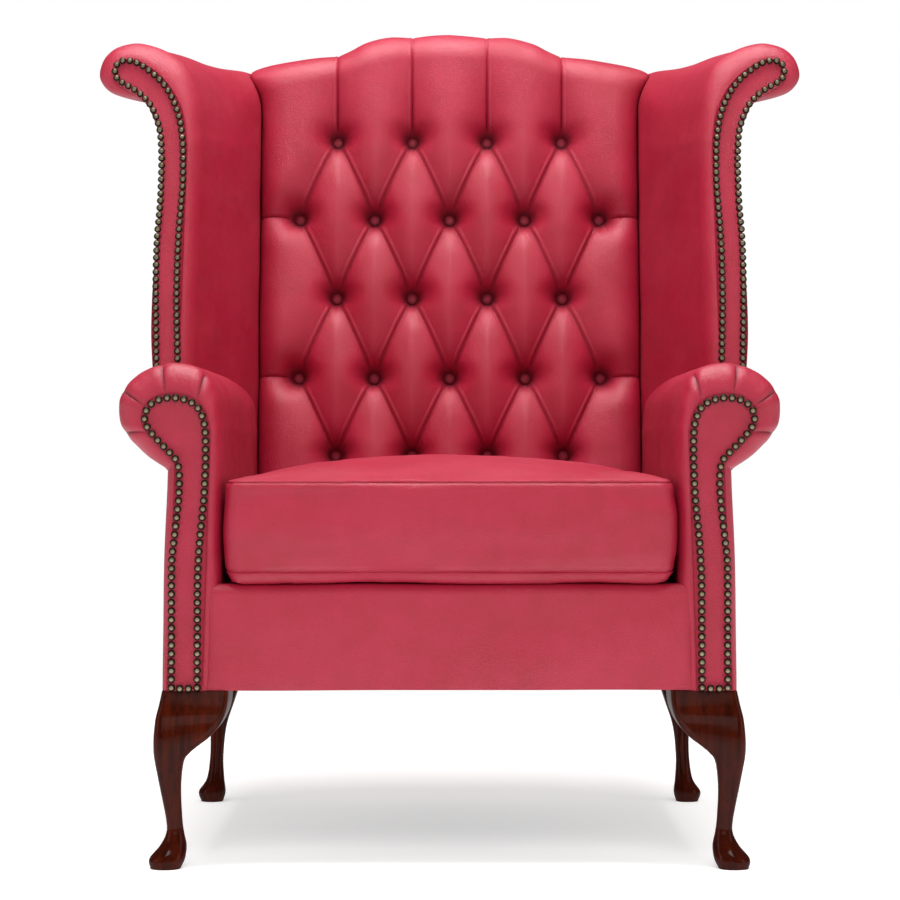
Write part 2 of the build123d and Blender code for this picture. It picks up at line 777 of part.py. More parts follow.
with BuildPart() as seat_cushion_cover:
    add(cushion(0))
    add(seat_cushion_core.part, mode=Mode.SUBTRACT)
save(seat_cushion_cover, "seat_cushion_cover")

# Inside back: a slab on the straps, turned over the top rail, with a tapered tuft between every
# four buttons and channels that run from the outer rows to the crest, the sides and the seat.
button_rows_x = [
    [(i - (count - 1) / 2) * button_pitch for i in range(count)]
    for count in [4 + row % 2 for row in range(button_rows)]
]
row_heights = [top_row_height - row * button_row_pitch for row in range(button_rows)]
tuft_foot = along(cushion_bottom, groove_height) - overrun / 2
crest_at_pleats = [crest_height * share for share in crest_pleat_shares]


def crest_height_at(x):
    """Height of the crest where a pleat crosses it."""
    steps = [button_pitch / 2, 1.5 * button_pitch, pad_half_width]
    return crest_at_pleats[min(range(3), key=lambda i: abs(abs(x) - steps[i]))]


tufts = []
for row in range(button_rows):
    heights = row_heights[row]
    for x, next_x in zip(button_rows_x[row], button_rows_x[row][1:]):
        middle = (x + next_x) / 2
        top = [(middle, row_heights[row - 1])]
        bottom = [(middle, heights - button_row_pitch)]
        if row == 0:
            top = [(x, crest_height_at(x)), (next_x, crest_height_at(next_x))]
        if row == button_rows - 1:
            bottom = [(next_x, tuft_foot), (x, tuft_foot)]
        tufts.append([(x, heights), *top, (next_x, heights), *bottom])
for side in (-1, 1):
    inner = side * 1.5 * button_pitch
    outer = side * 2 * button_pitch
    edge = side * pad_half_width
    tufts.append([
        (inner, row_heights[0]), (inner, crest_height_at(inner)), (edge, crest_height_at(edge)),
        (edge, row_heights[1]), (outer, row_heights[1]),
    ])
    tufts.append([
        (inner, row_heights[2]), (outer, row_heights[1]), (edge, row_heights[1]),
        (edge, row_heights[3]), (outer, row_heights[3]),
    ])
    tufts.append([
        (inner, row_heights[4]), (outer, row_heights[3]), (edge, row_heights[3]),
        (edge, tuft_foot), (inner, tuft_foot),
    ])

with BuildPart() as back_pad:
    with BuildSketch(raked(-post_thickness)):
        crest = crest_line(0)
        with BuildLine():
            Spline(*crest)
            Polyline(crest[-1], (pad_half_width, 0), (-pad_half_width, 0), crest[0])
        make_face()
    extrude(amount=post_thickness + groove_height)
    with BuildSketch(raked(0)):
        crest = crest_line(crest_roll)
        with BuildLine():
            Spline(*crest)
            Polyline(crest[-1], (pad_half_width, 0), (-pad_half_width, 0), crest[0])
        make_face()
    extrude(amount=-post_thickness - overrun, mode=Mode.SUBTRACT)
    for corners in tufts:
        sections = []
        for inset, rise in zip(tuft_inset_shares, tuft_rise_shares):
            with BuildSketch(raked(groove_height + rise * tuft_rise), mode=Mode.PRIVATE) as outline:
                with BuildLine():
                    Polyline(*corners, close=True)
                make_face()
                if inset:
                    offset(amount=-inset * tuft_rise, kind=Kind.INTERSECTION)
            sections.append(outline.sketch)
        loft(sections, ruled=True)
    split(bisect_by=Plane.XY.offset(cushion_bottom), keep=Keep.TOP)
    with BuildSketch(raked(button_depth)):
        with Locations(*[(x, row_heights[row]) for row in range(button_rows) for x in button_rows_x[row]]):
            RegularPolygon(button_radius + seat_clearance, button_sides)
    extrude(amount=groove_height + tuft_rise - button_depth, taper=-dimple_flare, mode=Mode.SUBTRACT)
save(back_pad, "back_pad")

with BuildPart() as back_buttons:
    with BuildSketch(raked(button_depth)):
        with Locations(*[(x, row_heights[row]) for row in range(button_rows) for x in button_rows_x[row]]):
            RegularPolygon(button_radius, button_sides)
    extrude(amount=button_thickness, taper=button_taper)
save(back_buttons, "back_buttons")

# Outside back: a plain panel over the posts, up to the crest.
with BuildPart() as outside_back:
    crest = crest_line(outside_thickness)
    with BuildSketch(raked(-post_thickness)):
        with BuildLine():
            Spline(*crest)
            Polyline(
                crest[-1],
                (base_half_width, post_top),
                (base_half_width, -overrun),
                (-base_half_width, -overrun),
                (-base_half_width, post_top),
                crest[0],
            )
        make_face()
    extrude(amount=-outside_thickness)
    split(bisect_by=Plane.XY.offset(leg_height), keep=Keep.TOP)
save(outside_back, "outside_back")

# Dust cover: black cloth under the seat frame, cut away round the legs.
with BuildPart() as dust_cover:
    with BuildSketch(Plane.XY.offset(leg_height)):
        with Locations((0, depth((frame_front_depth + back_foot_depth + rail_thickness) / 2))):
            Rectangle(2 * post_inside + rail_thickness, back_foot_depth - frame_front_depth)
        with Locations(
            (-base_half_width, depth(border_front_depth)),
            (base_half_width, depth(border_front_depth)),
            (-base_half_width, depth(rear_leg_depth + rear_block)),
            (base_half_width, depth(rear_leg_depth + rear_block)),
        ):
            Rectangle(2 * front_block + block_gap, 2 * front_block + block_gap, mode=Mode.SUBTRACT)
    extrude(amount=-dust_cover_thickness)
save(dust_cover, "dust_cover")
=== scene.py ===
# %% [markdown]
# # A deep-buttoned wing armchair
#
# This chair is a hardwood frame, covered in crimson leather, on carved mahogany legs. Nearly
# all that shows is leather pulled over stuffing. So the lesson is mostly about skins: a soft
# outline, carried along a run, with the pleats, tucks and nails that an upholsterer leaves.
#
# The frame comes ready made, in metres. x runs to the right, y to the back and z up.

from math import cos, pi, radians, sin, tan

import bpy
import numpy as np
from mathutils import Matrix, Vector, kdtree, noise


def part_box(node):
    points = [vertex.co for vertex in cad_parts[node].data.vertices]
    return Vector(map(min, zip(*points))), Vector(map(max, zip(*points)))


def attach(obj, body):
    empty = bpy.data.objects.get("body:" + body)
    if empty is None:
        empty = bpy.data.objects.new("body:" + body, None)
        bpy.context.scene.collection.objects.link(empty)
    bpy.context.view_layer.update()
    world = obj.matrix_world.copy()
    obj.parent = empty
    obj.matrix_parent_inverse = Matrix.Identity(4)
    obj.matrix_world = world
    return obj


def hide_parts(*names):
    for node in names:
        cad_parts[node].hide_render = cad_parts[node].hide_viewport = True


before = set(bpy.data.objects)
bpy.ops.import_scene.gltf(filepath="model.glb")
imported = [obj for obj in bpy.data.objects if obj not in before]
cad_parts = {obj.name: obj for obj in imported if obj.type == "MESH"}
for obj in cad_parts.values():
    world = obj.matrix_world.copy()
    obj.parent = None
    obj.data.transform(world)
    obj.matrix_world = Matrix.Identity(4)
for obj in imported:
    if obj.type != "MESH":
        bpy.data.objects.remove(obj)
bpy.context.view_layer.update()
MM = 0.001

# %% [markdown]
# ## The room
#
# The chair is looked at from straight in front, from about three metres away and from the
# height of the seat, with a long lens. That is why its sides hardly converge.

# %% Camera
VIEW_DISTANCE = 2.9
EYE_HEIGHT = 0.464
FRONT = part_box("left_front_leg")[0].y

bpy.ops.object.camera_add(
    location=(0.0005, FRONT - VIEW_DISTANCE, EYE_HEIGHT), rotation=(radians(90), 0, 0)
)
camera = bpy.context.object
camera.data.lens = 102.1
camera.data.sensor_width = 36
camera.data.shift_y = 0.0133
camera.data.clip_end = 60
bpy.context.scene.camera = camera
print("camera at", [round(v, 3) for v in camera.location])

# %% [markdown]
# ## Shader expressions
#
# A material is a chain of small sums on patterns. Written as node after node it is hard to
# read, so a socket is wrapped in a class that knows plus, minus, times and over.


# %% A socket that can be added and multiplied
class Pattern:
    """A value, colour or vector on its way through a material."""

    def __init__(self, tree, socket):
        self.tree, self.socket = tree, socket

    def node(self, kind, inputs, output=0, **settings):
        made = self.tree.nodes.new(kind)
        for name, value in settings.items():
            setattr(made, name, value)
        for name, value in inputs.items():
            self.feed(made.inputs[name], value)
        return Pattern(self.tree, made.outputs[output])

    def feed(self, socket, value):
        if isinstance(value, Pattern):
            self.tree.links.new(value.socket, socket)
        else:
            socket.default_value = value

    def sum(self, operation, first, second=0.0, limit=False):
        return self.node(
            "ShaderNodeMath", {0: first, 1: second}, operation=operation, use_clamp=limit
        )

    def __add__(self, other):
        return self.sum("ADD", self, other)

    def __sub__(self, other):
        return self.sum("SUBTRACT", self, other)

    def __rsub__(self, other):
        return self.sum("SUBTRACT", other, self)

    def __mul__(self, other):
        return self.sum("MULTIPLY", self, other)

    def __truediv__(self, other):
        return self.sum("DIVIDE", self, other)

    def __pow__(self, other):
        return self.sum("POWER", self, other)

    __radd__ = __add__
    __rmul__ = __mul__

    def limited(self):
        return self.sum("ADD", self, 0.0, limit=True)

    def between(self, low, high, start=0.0, end=1.0):
        """This value's run from low to high, stretched to run from start to end."""
        names = ("From Min", "From Max", "To Min", "To Max")
        return self.node(
            "ShaderNodeMapRange", {"Value": self, **dict(zip(names, (low, high, start, end)))}
        )

    def mix(self, first, second):
        """A colour: the first where this value is 0, the second where it is 1."""
        made = self.tree.nodes.new("ShaderNodeMix")
        made.data_type = "RGBA"
        for index, value in ((0, self), (6, first), (7, second)):
            self.feed(made.inputs[index], value)
        return Pattern(self.tree, made.outputs[2])

    def stretched(self, *scale):
        """This place, drawn out or pressed together along each axis."""
        return self.node("ShaderNodeMapping", {"Vector": self, "Scale": scale})

    def noise(self, scale, detail=2.0, rough=0.5):
        inputs = {"Vector": self, "Scale": scale, "Detail": detail, "Roughness": rough}
        return self.node("ShaderNodeTexNoise", inputs)

    def pebbles(self, scale):
        inputs = {"Vector": self, "Scale": scale}
        return self.node("ShaderNodeTexVoronoi", inputs, feature="DISTANCE_TO_EDGE")


# %% Start and finish a material
def new_material(name, slot=None):
    """A material, its shader and the place on the object that its patterns read."""
    material = bpy.data.materials.new(name)
    if slot:
        material["slot"] = slot
    material.use_nodes = True
    tree = material.node_tree
    place = tree.nodes.new("ShaderNodeTexCoord").outputs["Object"]
    return material, tree.nodes["Principled BSDF"], Pattern(tree, place)


def dress(shader, colour, roughness, relief=None, depth=0.0005, strength=1.0, **plain):
    """Join the patterns to the shader. What is the same all over is set on its own socket."""
    tree = shader.id_data
    for name, value in (("Base Color", colour), ("Roughness", roughness)):
        if isinstance(value, Pattern):
            tree.links.new(value.socket, shader.inputs[name])
        else:
            shader.inputs[name].default_value = value
    if relief is not None:
        inputs = {"Height": relief, "Distance": depth, "Strength": strength}
        bump = relief.node("ShaderNodeBump", inputs)
        tree.links.new(bump.socket, shader.inputs["Normal"])
    for name, value in plain.items():
        shader.inputs[name.replace("_", " ")].default_value = value


# %% [markdown]
# ## Finishes
#
# The leather is full-grain hide with a semi-aniline dye: a strong crimson that clouds a little
# from place to place, a fine pebble grain that catches the light, and a soft sheen. In the
# tucks, wells and seams its colour is painted darker, as painted shade, and the leather is duller.
# A point value, named after the tucks, says where that painted shade lies.

# %% Crimson leather
CRIMSON = (0.39, 0.0085, 0.04, 1)
DEEP_CRIMSON = (0.30, 0.0045, 0.021, 1)
# Near-black crimson for the painted shade in tucks, wells and seams.
TUCK_SHADE_CRIMSON = (0.05, 0.001, 0.003, 1)


def make_leather():
    material, shader, place = new_material("dyed_leather", "crimson_leather")
    clouds = place.noise(6.0, 3.0)
    blotches = place.noise(34.0, 4.0, 0.6)
    grain = place.stretched(1.0, 1.0, 1.15).pebbles(470.0).between(0.0, 0.35).limited()
    pores = place.noise(1500.0, 2.0)
    folds = place.noise(85.0, 3.0, 0.55)
    tuck_shade = place.node("ShaderNodeAttribute", {}, output=2, attribute_name="tuck_shade").limited()
    darkening = (clouds.between(0.3, 0.7) * 0.55 + blotches.between(0.35, 0.65) * 0.45).limited()
    hide = darkening.mix(CRIMSON, DEEP_CRIMSON)
    hide = ((1 - grain) * 0.28).mix(hide, DEEP_CRIMSON)
    # Painted shade: darken the leather towards near-black crimson in the tucks, wells and seams.
    hide = (tuck_shade * 0.9).mix(hide, TUCK_SHADE_CRIMSON)
    rubbed = place.stretched(1.0, 1.0, 2.6).noise(8.0, 2.0).between(0.36, 0.64).limited()
    polish = 0.36 + 0.14 * rubbed + 0.06 * blotches + 0.07 * (1 - grain) + 0.15 * tuck_shade
    relief = grain * 0.55 + pores * 0.2 + folds * 0.9
    dress(shader, hide, polish, relief, depth=0.0007, strength=0.55, Specular_IOR_Level=0.55)
    return material


leather = make_leather()
print("leather:", len(leather.node_tree.nodes), "nodes")

# %% [markdown]
# The show wood is mahogany, stained nearly black-red and french polished. Its figure runs up
# the leg, so the noise is pressed together across the grain and drawn out along it.

# %% Mahogany
RED_BROWN, DARK_BROWN = (0.058, 0.0065, 0.0016, 1), (0.012, 0.0015, 0.0006, 1)
RED_STAIN, OPEN_PORE = (0.03, 0.0035, 0.0014, 1), (0.012, 0.002, 0.001, 1)


def make_mahogany():
    material, shader, place = new_material("polished_mahogany", "mahogany")
    drift = place.noise(7.0, 2.0)
    figure = place.stretched(1.0, 1.0, 0.1).noise(95.0, 5.0, 0.62)
    pores = place.stretched(1.0, 1.0, 0.045).noise(900.0, 2.0)
    wood = figure.between(0.36, 0.68).mix(RED_BROWN, DARK_BROWN)
    wood = (drift.between(0.35, 0.7) * 0.6).mix(wood, RED_STAIN)
    wood = pores.between(0.6, 0.72).mix(wood, OPEN_PORE)
    dress(
        shader, wood, 0.26 + 0.12 * figure, figure * 0.3 + pores * 0.3, depth=0.0003,
        strength=0.4, Specular_IOR_Level=0.0, Coat_Weight=0.2, Coat_Roughness=0.1,
    )
    return material


mahogany = make_mahogany()

# %% [markdown]
# The nails are antique brass: cast dark, then rubbed, so that only the crown of each dome is
# bright. That bright crown is partly rubbed brass and partly a painted highlight. A point value
# named crown, which is 0 at the rim and 1 at the top, says how bright.

# %% Antique brass
CAST_BRASS, RUBBED_BRASS_AND_HIGHLIGHT = (0.014, 0.009, 0.005, 1), (0.30, 0.24, 0.15, 1)


def make_brass():
    material, shader, place = new_material("antique_brass")
    crown = place.node("ShaderNodeAttribute", {}, output=2, attribute_name="crown").limited()
    stain = place.noise(420.0, 3.0)
    # Rubbed brass and a painted highlight: bright only near each dome's crown.
    rubbed = (crown * 1.5 - 0.15 - stain * 0.25).limited()
    metal = rubbed.mix(CAST_BRASS, RUBBED_BRASS_AND_HIGHLIGHT)
    dress(
        shader, metal, 0.42 - 0.1 * rubbed + 0.1 * stain, stain, depth=0.0002,
        strength=0.4, Metallic=0.85,
    )
    return material


brass = make_brass()

# %% [markdown]
# The rest is hidden in use, but not when the cushion is off or the chair lies on its back:
# sawn beech, oiled spring wire, jute straps, black dust cloth and the lining under the cushion.

# %% Frame timber, steel and cloths
PALE_BEECH, BROWN_BEECH = (0.6, 0.41, 0.23, 1), (0.42, 0.26, 0.13, 1)
BEECH_FLECK = (0.3, 0.17, 0.08, 1)
BRIGHT_STEEL, OILED_STEEL = (0.42, 0.42, 0.43, 1), (0.16, 0.15, 0.15, 1)


def make_beech():
    material, shader, place = new_material("sawn_beech", "frame_hardwood")
    grain = place.stretched(1.0, 0.12, 1.0).noise(120.0, 4.0, 0.6)
    flecks = place.stretched(1.0, 0.2, 1.0).noise(800.0, 1.0)
    wood = grain.between(0.35, 0.65).mix(PALE_BEECH, BROWN_BEECH)
    wood = flecks.between(0.62, 0.7).mix(wood, BEECH_FLECK)
    dress(shader, wood, 0.6 + 0.15 * grain, grain + flecks * 0.4, depth=0.0004, strength=0.5)
    return material


def make_steel():
    material, shader, place = new_material("oiled_steel", "spring_steel")
    haze = place.noise(160.0, 3.0)
    scratch = place.stretched(1.0, 8.0, 1.0).noise(600.0, 2.0)
    metal = haze.between(0.3, 0.75).mix(BRIGHT_STEEL, OILED_STEEL)
    dress(shader, metal, 0.3 + 0.2 * haze, scratch, depth=0.0001, strength=0.4, Metallic=1.0)
    return material


def make_cloth(name, slot, thread, light, dark):
    """A plain weave: two ribbed patterns cross, and a little slub makes the threads uneven."""
    material, shader, place = new_material(name, slot)
    slub = place.noise(190.0, 3.0)
    waves = []
    for direction in ("X", "Y"):
        inputs = {"Vector": place, "Scale": 1 / thread, "Distortion": 0.6, "Detail": 1.0}
        waves.append(place.node("ShaderNodeTexWave", inputs, output=1, bands_direction=direction))
    weave = waves[0] * 0.5 + waves[1] * 0.5
    cloth = (weave * 0.7 + slub * 0.4).limited().mix(dark, light)
    dress(shader, cloth, 0.85 - 0.1 * slub, weave + slub * 0.6, depth=0.0005, strength=0.7)
    return material


beech = make_beech()
steel = make_steel()
jute, dust_cloth, lining = (
    make_cloth(name, slot, thread, (*light, 1), (*dark, 1))
    for name, slot, thread, light, dark in (
        ("jute_webbing", "webbing", 0.019, (0.46, 0.36, 0.22), (0.2, 0.14, 0.08)),
        ("dust_cloth", "black_cloth", 0.012, (0.035, 0.035, 0.037), (0.008, 0.008, 0.009)),
        ("red_lining", "deck_cloth", 0.014, (0.2, 0.02, 0.035), (0.07, 0.008, 0.014)),
    )
)
print("finishes:", [m.name for m in bpy.data.materials])

# %% [markdown]
# ## Tools for leather
#
# Every covered piece of this chair is an outline carried along a run. By hand that is a grid
# whose rows are dragged into place one by one. Here the grid is added with the same operator,
# and each of its rows is given a ring of points. Rings are in millimetres.


# %% Select, name and edit pieces
def select_only(*pieces):
    if bpy.context.object and bpy.context.object.mode != "OBJECT":
        bpy.ops.object.mode_set(mode="OBJECT")
    bpy.ops.object.select_all(action="DESELECT")
    bpy.context.view_layer.objects.active = pieces[0] if pieces else None
    for piece in pieces:
        piece.select_set(True)


def named(name):
    """The piece that was made last, under this name."""
    piece = bpy.context.object
    piece.name = piece.data.name = name
    return piece


def joined(name, pieces):
    """All these pieces as one."""
    select_only(*pieces)
    bpy.ops.object.join()
    return named(name)


def edit_all(action="SELECT"):
    """Open the piece for editing, with all of its points selected or none."""
    bpy.ops.object.mode_set(mode="EDIT")
    bpy.ops.mesh.select_all(action=action)


def turn_outwards():
    """Make every face look out, and close the piece again."""
    bpy.ops.mesh.select_all(action="SELECT")
    bpy.ops.mesh.normals_make_consistent(inside=False)
    bpy.ops.object.mode_set(mode="OBJECT")


def add_and_apply(kind, **settings):
    """Give the active piece a modifier with these settings, and apply it."""
    bpy.ops.object.modifier_add(type=kind)
    modifier = bpy.context.object.modifiers[-1]
    for name, value in settings.items():
        setattr(modifier, name, value)
    bpy.ops.object.modifier_apply(modifier=modifier.name)


# %% Read and put points
def read_points(piece):
    """The piece's points, in millimetres."""
    points = np.empty(len(piece.data.vertices) * 3)
    piece.data.vertices.foreach_get("co", points)
    return points.reshape(-1, 3) / MM


def put_points(piece, points):
    piece.data.vertices.foreach_set("co", (np.asarray(points) * MM).ravel())
    piece.data.update()


# %% Mark points, and carry an outline along a run
SAME_PLACE = 0.000002


def mark(piece, name, values):
    """Keep one value for each point of a piece, for its finish to read."""
    layer = piece.data.attributes.new(name, "FLOAT", "POINT")
    layer.data.foreach_set("value", np.clip(values, 0, 1).astype(np.float32))


def loft(name, rings, tuck_shade=None):
    """A skin through rings of points, joined into a tube and filled at its ends."""
    rings = np.asarray(rings, float)
    rows, columns = rings.shape[:2]
    select_only()
    bpy.ops.mesh.primitive_grid_add(x_subdivisions=columns, y_subdivisions=rows - 1, size=2)
    piece = named(name)
    grid = read_points(piece) * MM
    across = np.rint((grid[:, 0] + 1) / 2 * columns).astype(int) % columns
    along = np.rint((grid[:, 1] + 1) / 2 * (rows - 1)).astype(int)
    put_points(piece, rings[along, across])
    mark(piece, "tuck_shade", np.zeros(len(grid)) if tuck_shade is None else tuck_shade[along, across])
    edit_all()
    bpy.ops.mesh.remove_doubles(threshold=SAME_PLACE)
    bpy.ops.mesh.fill_holes(sides=0)
    turn_outwards()
    return piece


def litres(piece):
    """What a closed skin holds. It is less than nothing where the skin is inside out."""
    piece.data.calc_loop_triangles()
    points = read_points(piece) / 100
    corners = np.array([t.vertices[:] for t in piece.data.loop_triangles])
    a, b, c = (points[corners[:, i]] for i in range(3))
    return float(np.einsum("ij,ij->i", a, np.cross(b, c)).sum() / 6)


# %% Soft lines through a few points
def soft_line(knots, steps):
    """Points on a soft curve through the knots, the same number from each knot to the next."""
    knots = np.asarray(knots, float)
    ends = [2 * knots[0] - knots[1], *knots, 2 * knots[-1] - knots[-2]]
    line = []
    for before, start, end, after in zip(ends, ends[1:], ends[2:], ends[3:]):
        for t in np.arange(steps) / steps:
            line.append(
                0.5 * (2 * start + (end - before) * t
                + (2 * before - 5 * start + 4 * end - after) * t**2
                + (3 * start - before - 3 * end + after) * t**3)
            )
    return np.array([*line, knots[-1]])


def evenly(line, count):
    """The same line as this many points, all equally far apart along it."""
    line = np.asarray(line, float)
    steps = np.linalg.norm(np.diff(line, axis=0), axis=1)
    reach = np.concatenate([[0], np.cumsum(steps)])
    wanted = np.linspace(0, reach[-1], count)
    return np.column_stack([np.interp(wanted, reach, line[:, i]) for i in range(line.shape[1])])


def straight(start, end, count):
    """Points from start to end, without the start."""
    start, end = np.asarray(start, float), np.asarray(end, float)
    return [start + (end - start) * (i + 1) / count for i in range(count)]


def path(corners, counts):
    """Points along straight lines from corner to corner, without the first corner."""
    return [p for a, b, n in zip(corners, corners[1:], counts) for p in straight(a, b, n)]


def smaller(ring, inset):
    """A ring drawn in towards its middle, by about so many millimetres."""
    return ring + (ring.mean(axis=0) - ring) * inset / 60


# %% Push a skin out or in along its normals
def swell(piece, amounts):
    """Move each point out along its normal by so many millimetres."""
    normals = np.empty(len(piece.data.vertices) * 3)
    piece.data.vertices.foreach_get("normal", normals)
    put_points(piece, read_points(piece) + normals.reshape(-1, 3) * np.asarray(amounts)[:, None])


def ripples(points, size, seed):
    """Soft noise from about -1 to 1 at each point, with waves of about this size."""
    shift = Vector((seed * 7.3, seed * 3.1, seed * 5.7))
    return np.array([noise.noise(Vector(p) / size + shift) for p in points]) * 2


# %% Finish a piece, or one and its mirror image
def finish(piece, material, body, nodes=(), fill=None, angle=50):
    """Smooth a piece, give it its material, hang it on its body and hide the frame's pieces that it
    replaces.
    """
    select_only(piece)
    bpy.ops.object.shade_smooth_by_angle(angle=radians(angle))
    piece.data.materials.clear()
    piece.data.materials.append(material)
    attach(piece, body)
    "slot" in material
    if nodes:
        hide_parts(*nodes)
    print(f"{piece.name}: {len(piece.data.polygons)} faces")


def finish_both_sides(left, material, *nodes, **how):
    """Finish a left-hand piece and its mirror image. nodes are named without their side."""
    right = left.copy()
    right.data = left.data.copy()
    right.name = right.data.name = left.name.replace("left", "right")
    bpy.context.collection.objects.link(right)
    put_points(right, read_points(right) * (-1, 1, 1))
    right.data.flip_normals()
    for piece, side in ((left, "left"), (right, "right")):
        finish(piece, material, "chair", [f"{side}_{node}" for node in nodes], **how)


# %% [markdown]
# The floor is pale and keeps a soft shadow. It is nearly as bright as the white behind it, so
# that it fades away. The room itself is only light: a wide soft lamp in front and above, whose
# own reflection is hidden, a weak one low in front, one overhead that brightens the seat and
# the tops of the arms, and two weak ones at the sides.


# %% Floor and backdrop
def make_floor_material():
    """White paper: it takes shadows near the chair, and further off it is only white."""
    material, shader, place = new_material("white_paper")
    parts = place.node("ShaderNodeSeparateXYZ", {"Vector": place})
    x, y = parts, Pattern(parts.tree, parts.socket.node.outputs[1])
    far = ((x * x + (y + 0.1) * (y + 0.1)) ** 0.5).between(0.95, 2.1).limited()
    plain = far.mix((0.8, 0.8, 0.8, 1), (0, 0, 0, 1))
    glow = far.mix((0.45, 0.45, 0.45, 1), (1, 1, 1, 1))
    dress(shader, plain, 0.9, Specular_IOR_Level=0.0, Emission_Strength=1.0)
    shader.id_data.links.new(glow.socket, shader.inputs["Emission Color"])
    return material


select_only()
bpy.ops.mesh.primitive_plane_add(size=120, location=(0, 0, 0))
floor = named("floor")
floor.data.materials.append(make_floor_material())

world = bpy.data.worlds.new("white_room")
bpy.context.scene.world = world
world.use_nodes = True
tree = world.node_tree
background = tree.nodes["Background"]
paths = tree.nodes.new("ShaderNodeLightPath")
seen = Pattern(tree, paths.outputs["Is Camera Ray"])
glossy = Pattern(tree, paths.outputs["Is Glossy Ray"])
through = Pattern(tree, paths.outputs["Is Transmission Ray"])
strength = 0.42 + 0.58 * (seen + through).limited() - 0.3 * glossy
background.inputs["Color"].default_value = (1, 1, 1, 1)
tree.links.new(strength.socket, background.inputs["Strength"])
print("floor and a white room")


# %% Lamps
def softbox(name, place, target, wide, tall, power):
    bpy.ops.object.light_add(type="AREA", location=place)
    lamp = named(name)
    lamp.data.shape = "RECTANGLE"
    lamp.data.size, lamp.data.size_y = wide, tall
    lamp.data.energy = power
    lamp.rotation_euler = (Vector(target) - Vector(place)).to_track_quat("-Z", "Y").to_euler()
    return lamp


key = softbox("key", (0.1, -3.0, 2.7), (0, 0, 0.55), 2.2, 1.4, 44)
key.visible_glossy = False
softbox("front", (0.0, -3.6, 0.9), (0, 0, 0.5), 2.2, 0.8, 8)
softbox("overhead", (0, -0.3, 3.0), (0, -0.1, 0.4), 2.0, 1.6, 104)
softbox("left_fill", (-3.0, -1.2, 1.3), (0, 0, 0.5), 1.2, 2.2, 14)
softbox("right_fill", (3.0, -1.2, 1.3), (0, 0, 0.5), 1.2, 2.2, 14)
bpy.context.scene.view_settings.view_transform = "Standard"


# %% [markdown]
# ## Where things are
#
# The back leans by nine degrees, and all that belongs to it is measured on raked planes:
# across, up along the rake, and out from the frame's face. The arms stand on upright planes.

# %% Places on upright and raked planes
RAKE = radians(9)
FLOOR_OF_FRAME = 203
BACK_FOOT = 601.5
TOES = 388


def upright(x, behind, height):
    """A place so far behind the toes, as x, y and z."""
    x, behind, height = np.broadcast_arrays(x, behind, height)
    return np.stack([x, behind - TOES, height], axis=-1)


def raked(x, up, reach):
    """A place on the back: across, up along the rake and out from the frame's face."""
    x, up, reach = np.broadcast_arrays(x, up, reach)
    y = BACK_FOOT - TOES + up * sin(RAKE) - reach * cos(RAKE)
    return np.stack([x, y, FLOOR_OF_FRAME + up * cos(RAKE) + reach * sin(RAKE)], axis=-1)


def up_at(height, reach):
    """How far up the rake a true height lies."""
    return (height - FLOOR_OF_FRAME - reach * sin(RAKE)) / cos(RAKE)


def frame_face(height):
    """How far behind the toes the back frame's face is at a height."""
    return BACK_FOOT + (np.asarray(height) - FLOOR_OF_FRAME) * tan(RAKE)


# %% Push rings out or in before they get their skin
def push(rings, amounts, middle):
    """Move ring points out from a middle line, along the skin that they will have."""
    rings = np.asarray(rings, float)
    across = np.gradient(rings, axis=1)
    along = np.gradient(rings, axis=0)
    normals = np.cross(across, along)
    normals /= np.maximum(np.linalg.norm(normals, axis=2, keepdims=True), 1e-9)
    outwards = np.einsum("ijk,ijk->", normals, rings - np.asarray(middle, float))
    return rings + normals * np.asarray(amounts)[..., None] * (1 if outwards > 0 else -1)


# %% [markdown]
# ## Arms
#
# An arm is a scroll. Its leather starts under the roll, goes over it and down to the seat. At
# the front it turns a quarter round into a smaller outline, that of the nailed facing, and the
# spare leather is gathered in four pleats. So the outline shrinks as the front is reached, by
# the same law as a quarter circle.

# %% The arm's outlines, from the neck over the roll
ARM_INSIDE, ARM_WIDTH = 262, 113.6
ARM_NECK, ARM_ROLL = 455, 122
ARM_FRONT, FACING = 8, 5
ARM_NOSE, NOSE_INSET = 27, 20
FACING_INSET, SKIN = 7, 2.5
BASE_OUTSIDE = 330
ABOVE_SEAT_RAIL = 298.4
# Across and height, from the arm rail's inner foot round it and down the post's outer side.
ARM_TIMBER = [
    (-283.7, ABOVE_SEAT_RAIL), (-283.7, 526.3), (-354.3, 526.3), (-354.3, 487.7),
    (-312.3, 487.7), (-312.3, 455.3),
]
POST_OUTSIDE = ARM_TIMBER[-1][0]
ARM_OUTLINE = [
    (0.545, 0.0), (0.79, 0.155), (0.99, 0.375), (1.04, 0.55), (0.99, 0.74),
    (0.8, 0.925), (0.484, 1.01), (0.215, 0.95), (0.05, 0.74), (0.0, 0.41),
]
ARM_FACING = [
    (0.453, 0.057), (0.634, 0.238), (0.757, 0.377), (0.788, 0.492), (0.757, 0.6),
    (0.651, 0.685), (0.484, 0.715), (0.282, 0.68), (0.145, 0.55), (0.093, 0.369),
]


def arm_roll(growth):
    """The roll's line, as x and height. Growth 0 is the arm's, and 1 the facing's."""
    shares = np.array(ARM_OUTLINE) * (1 - growth) + np.array(ARM_FACING) * growth
    knots = shares * (-ARM_WIDTH, ARM_ROLL) + (-ARM_INSIDE, ARM_NECK)
    return soft_line(knots, 14)


def arm_ring(growth, foot):
    """The outline of the arm's stuffing in front: roll, inner wall, foot and outer wall."""
    roll = arm_roll(growth)
    inner = (-ARM_INSIDE - NOSE_INSET * growth, foot)
    outer = np.array([-BASE_OUTSIDE + SKIN + FACING_INSET * growth, foot])
    neck = outer + (roll[0] - outer) * 0.99
    walls = path([roll[-1], inner, outer, neck, roll[0]], (44, 4, 10, 24))
    return np.array([*roll, *walls[:-1]])


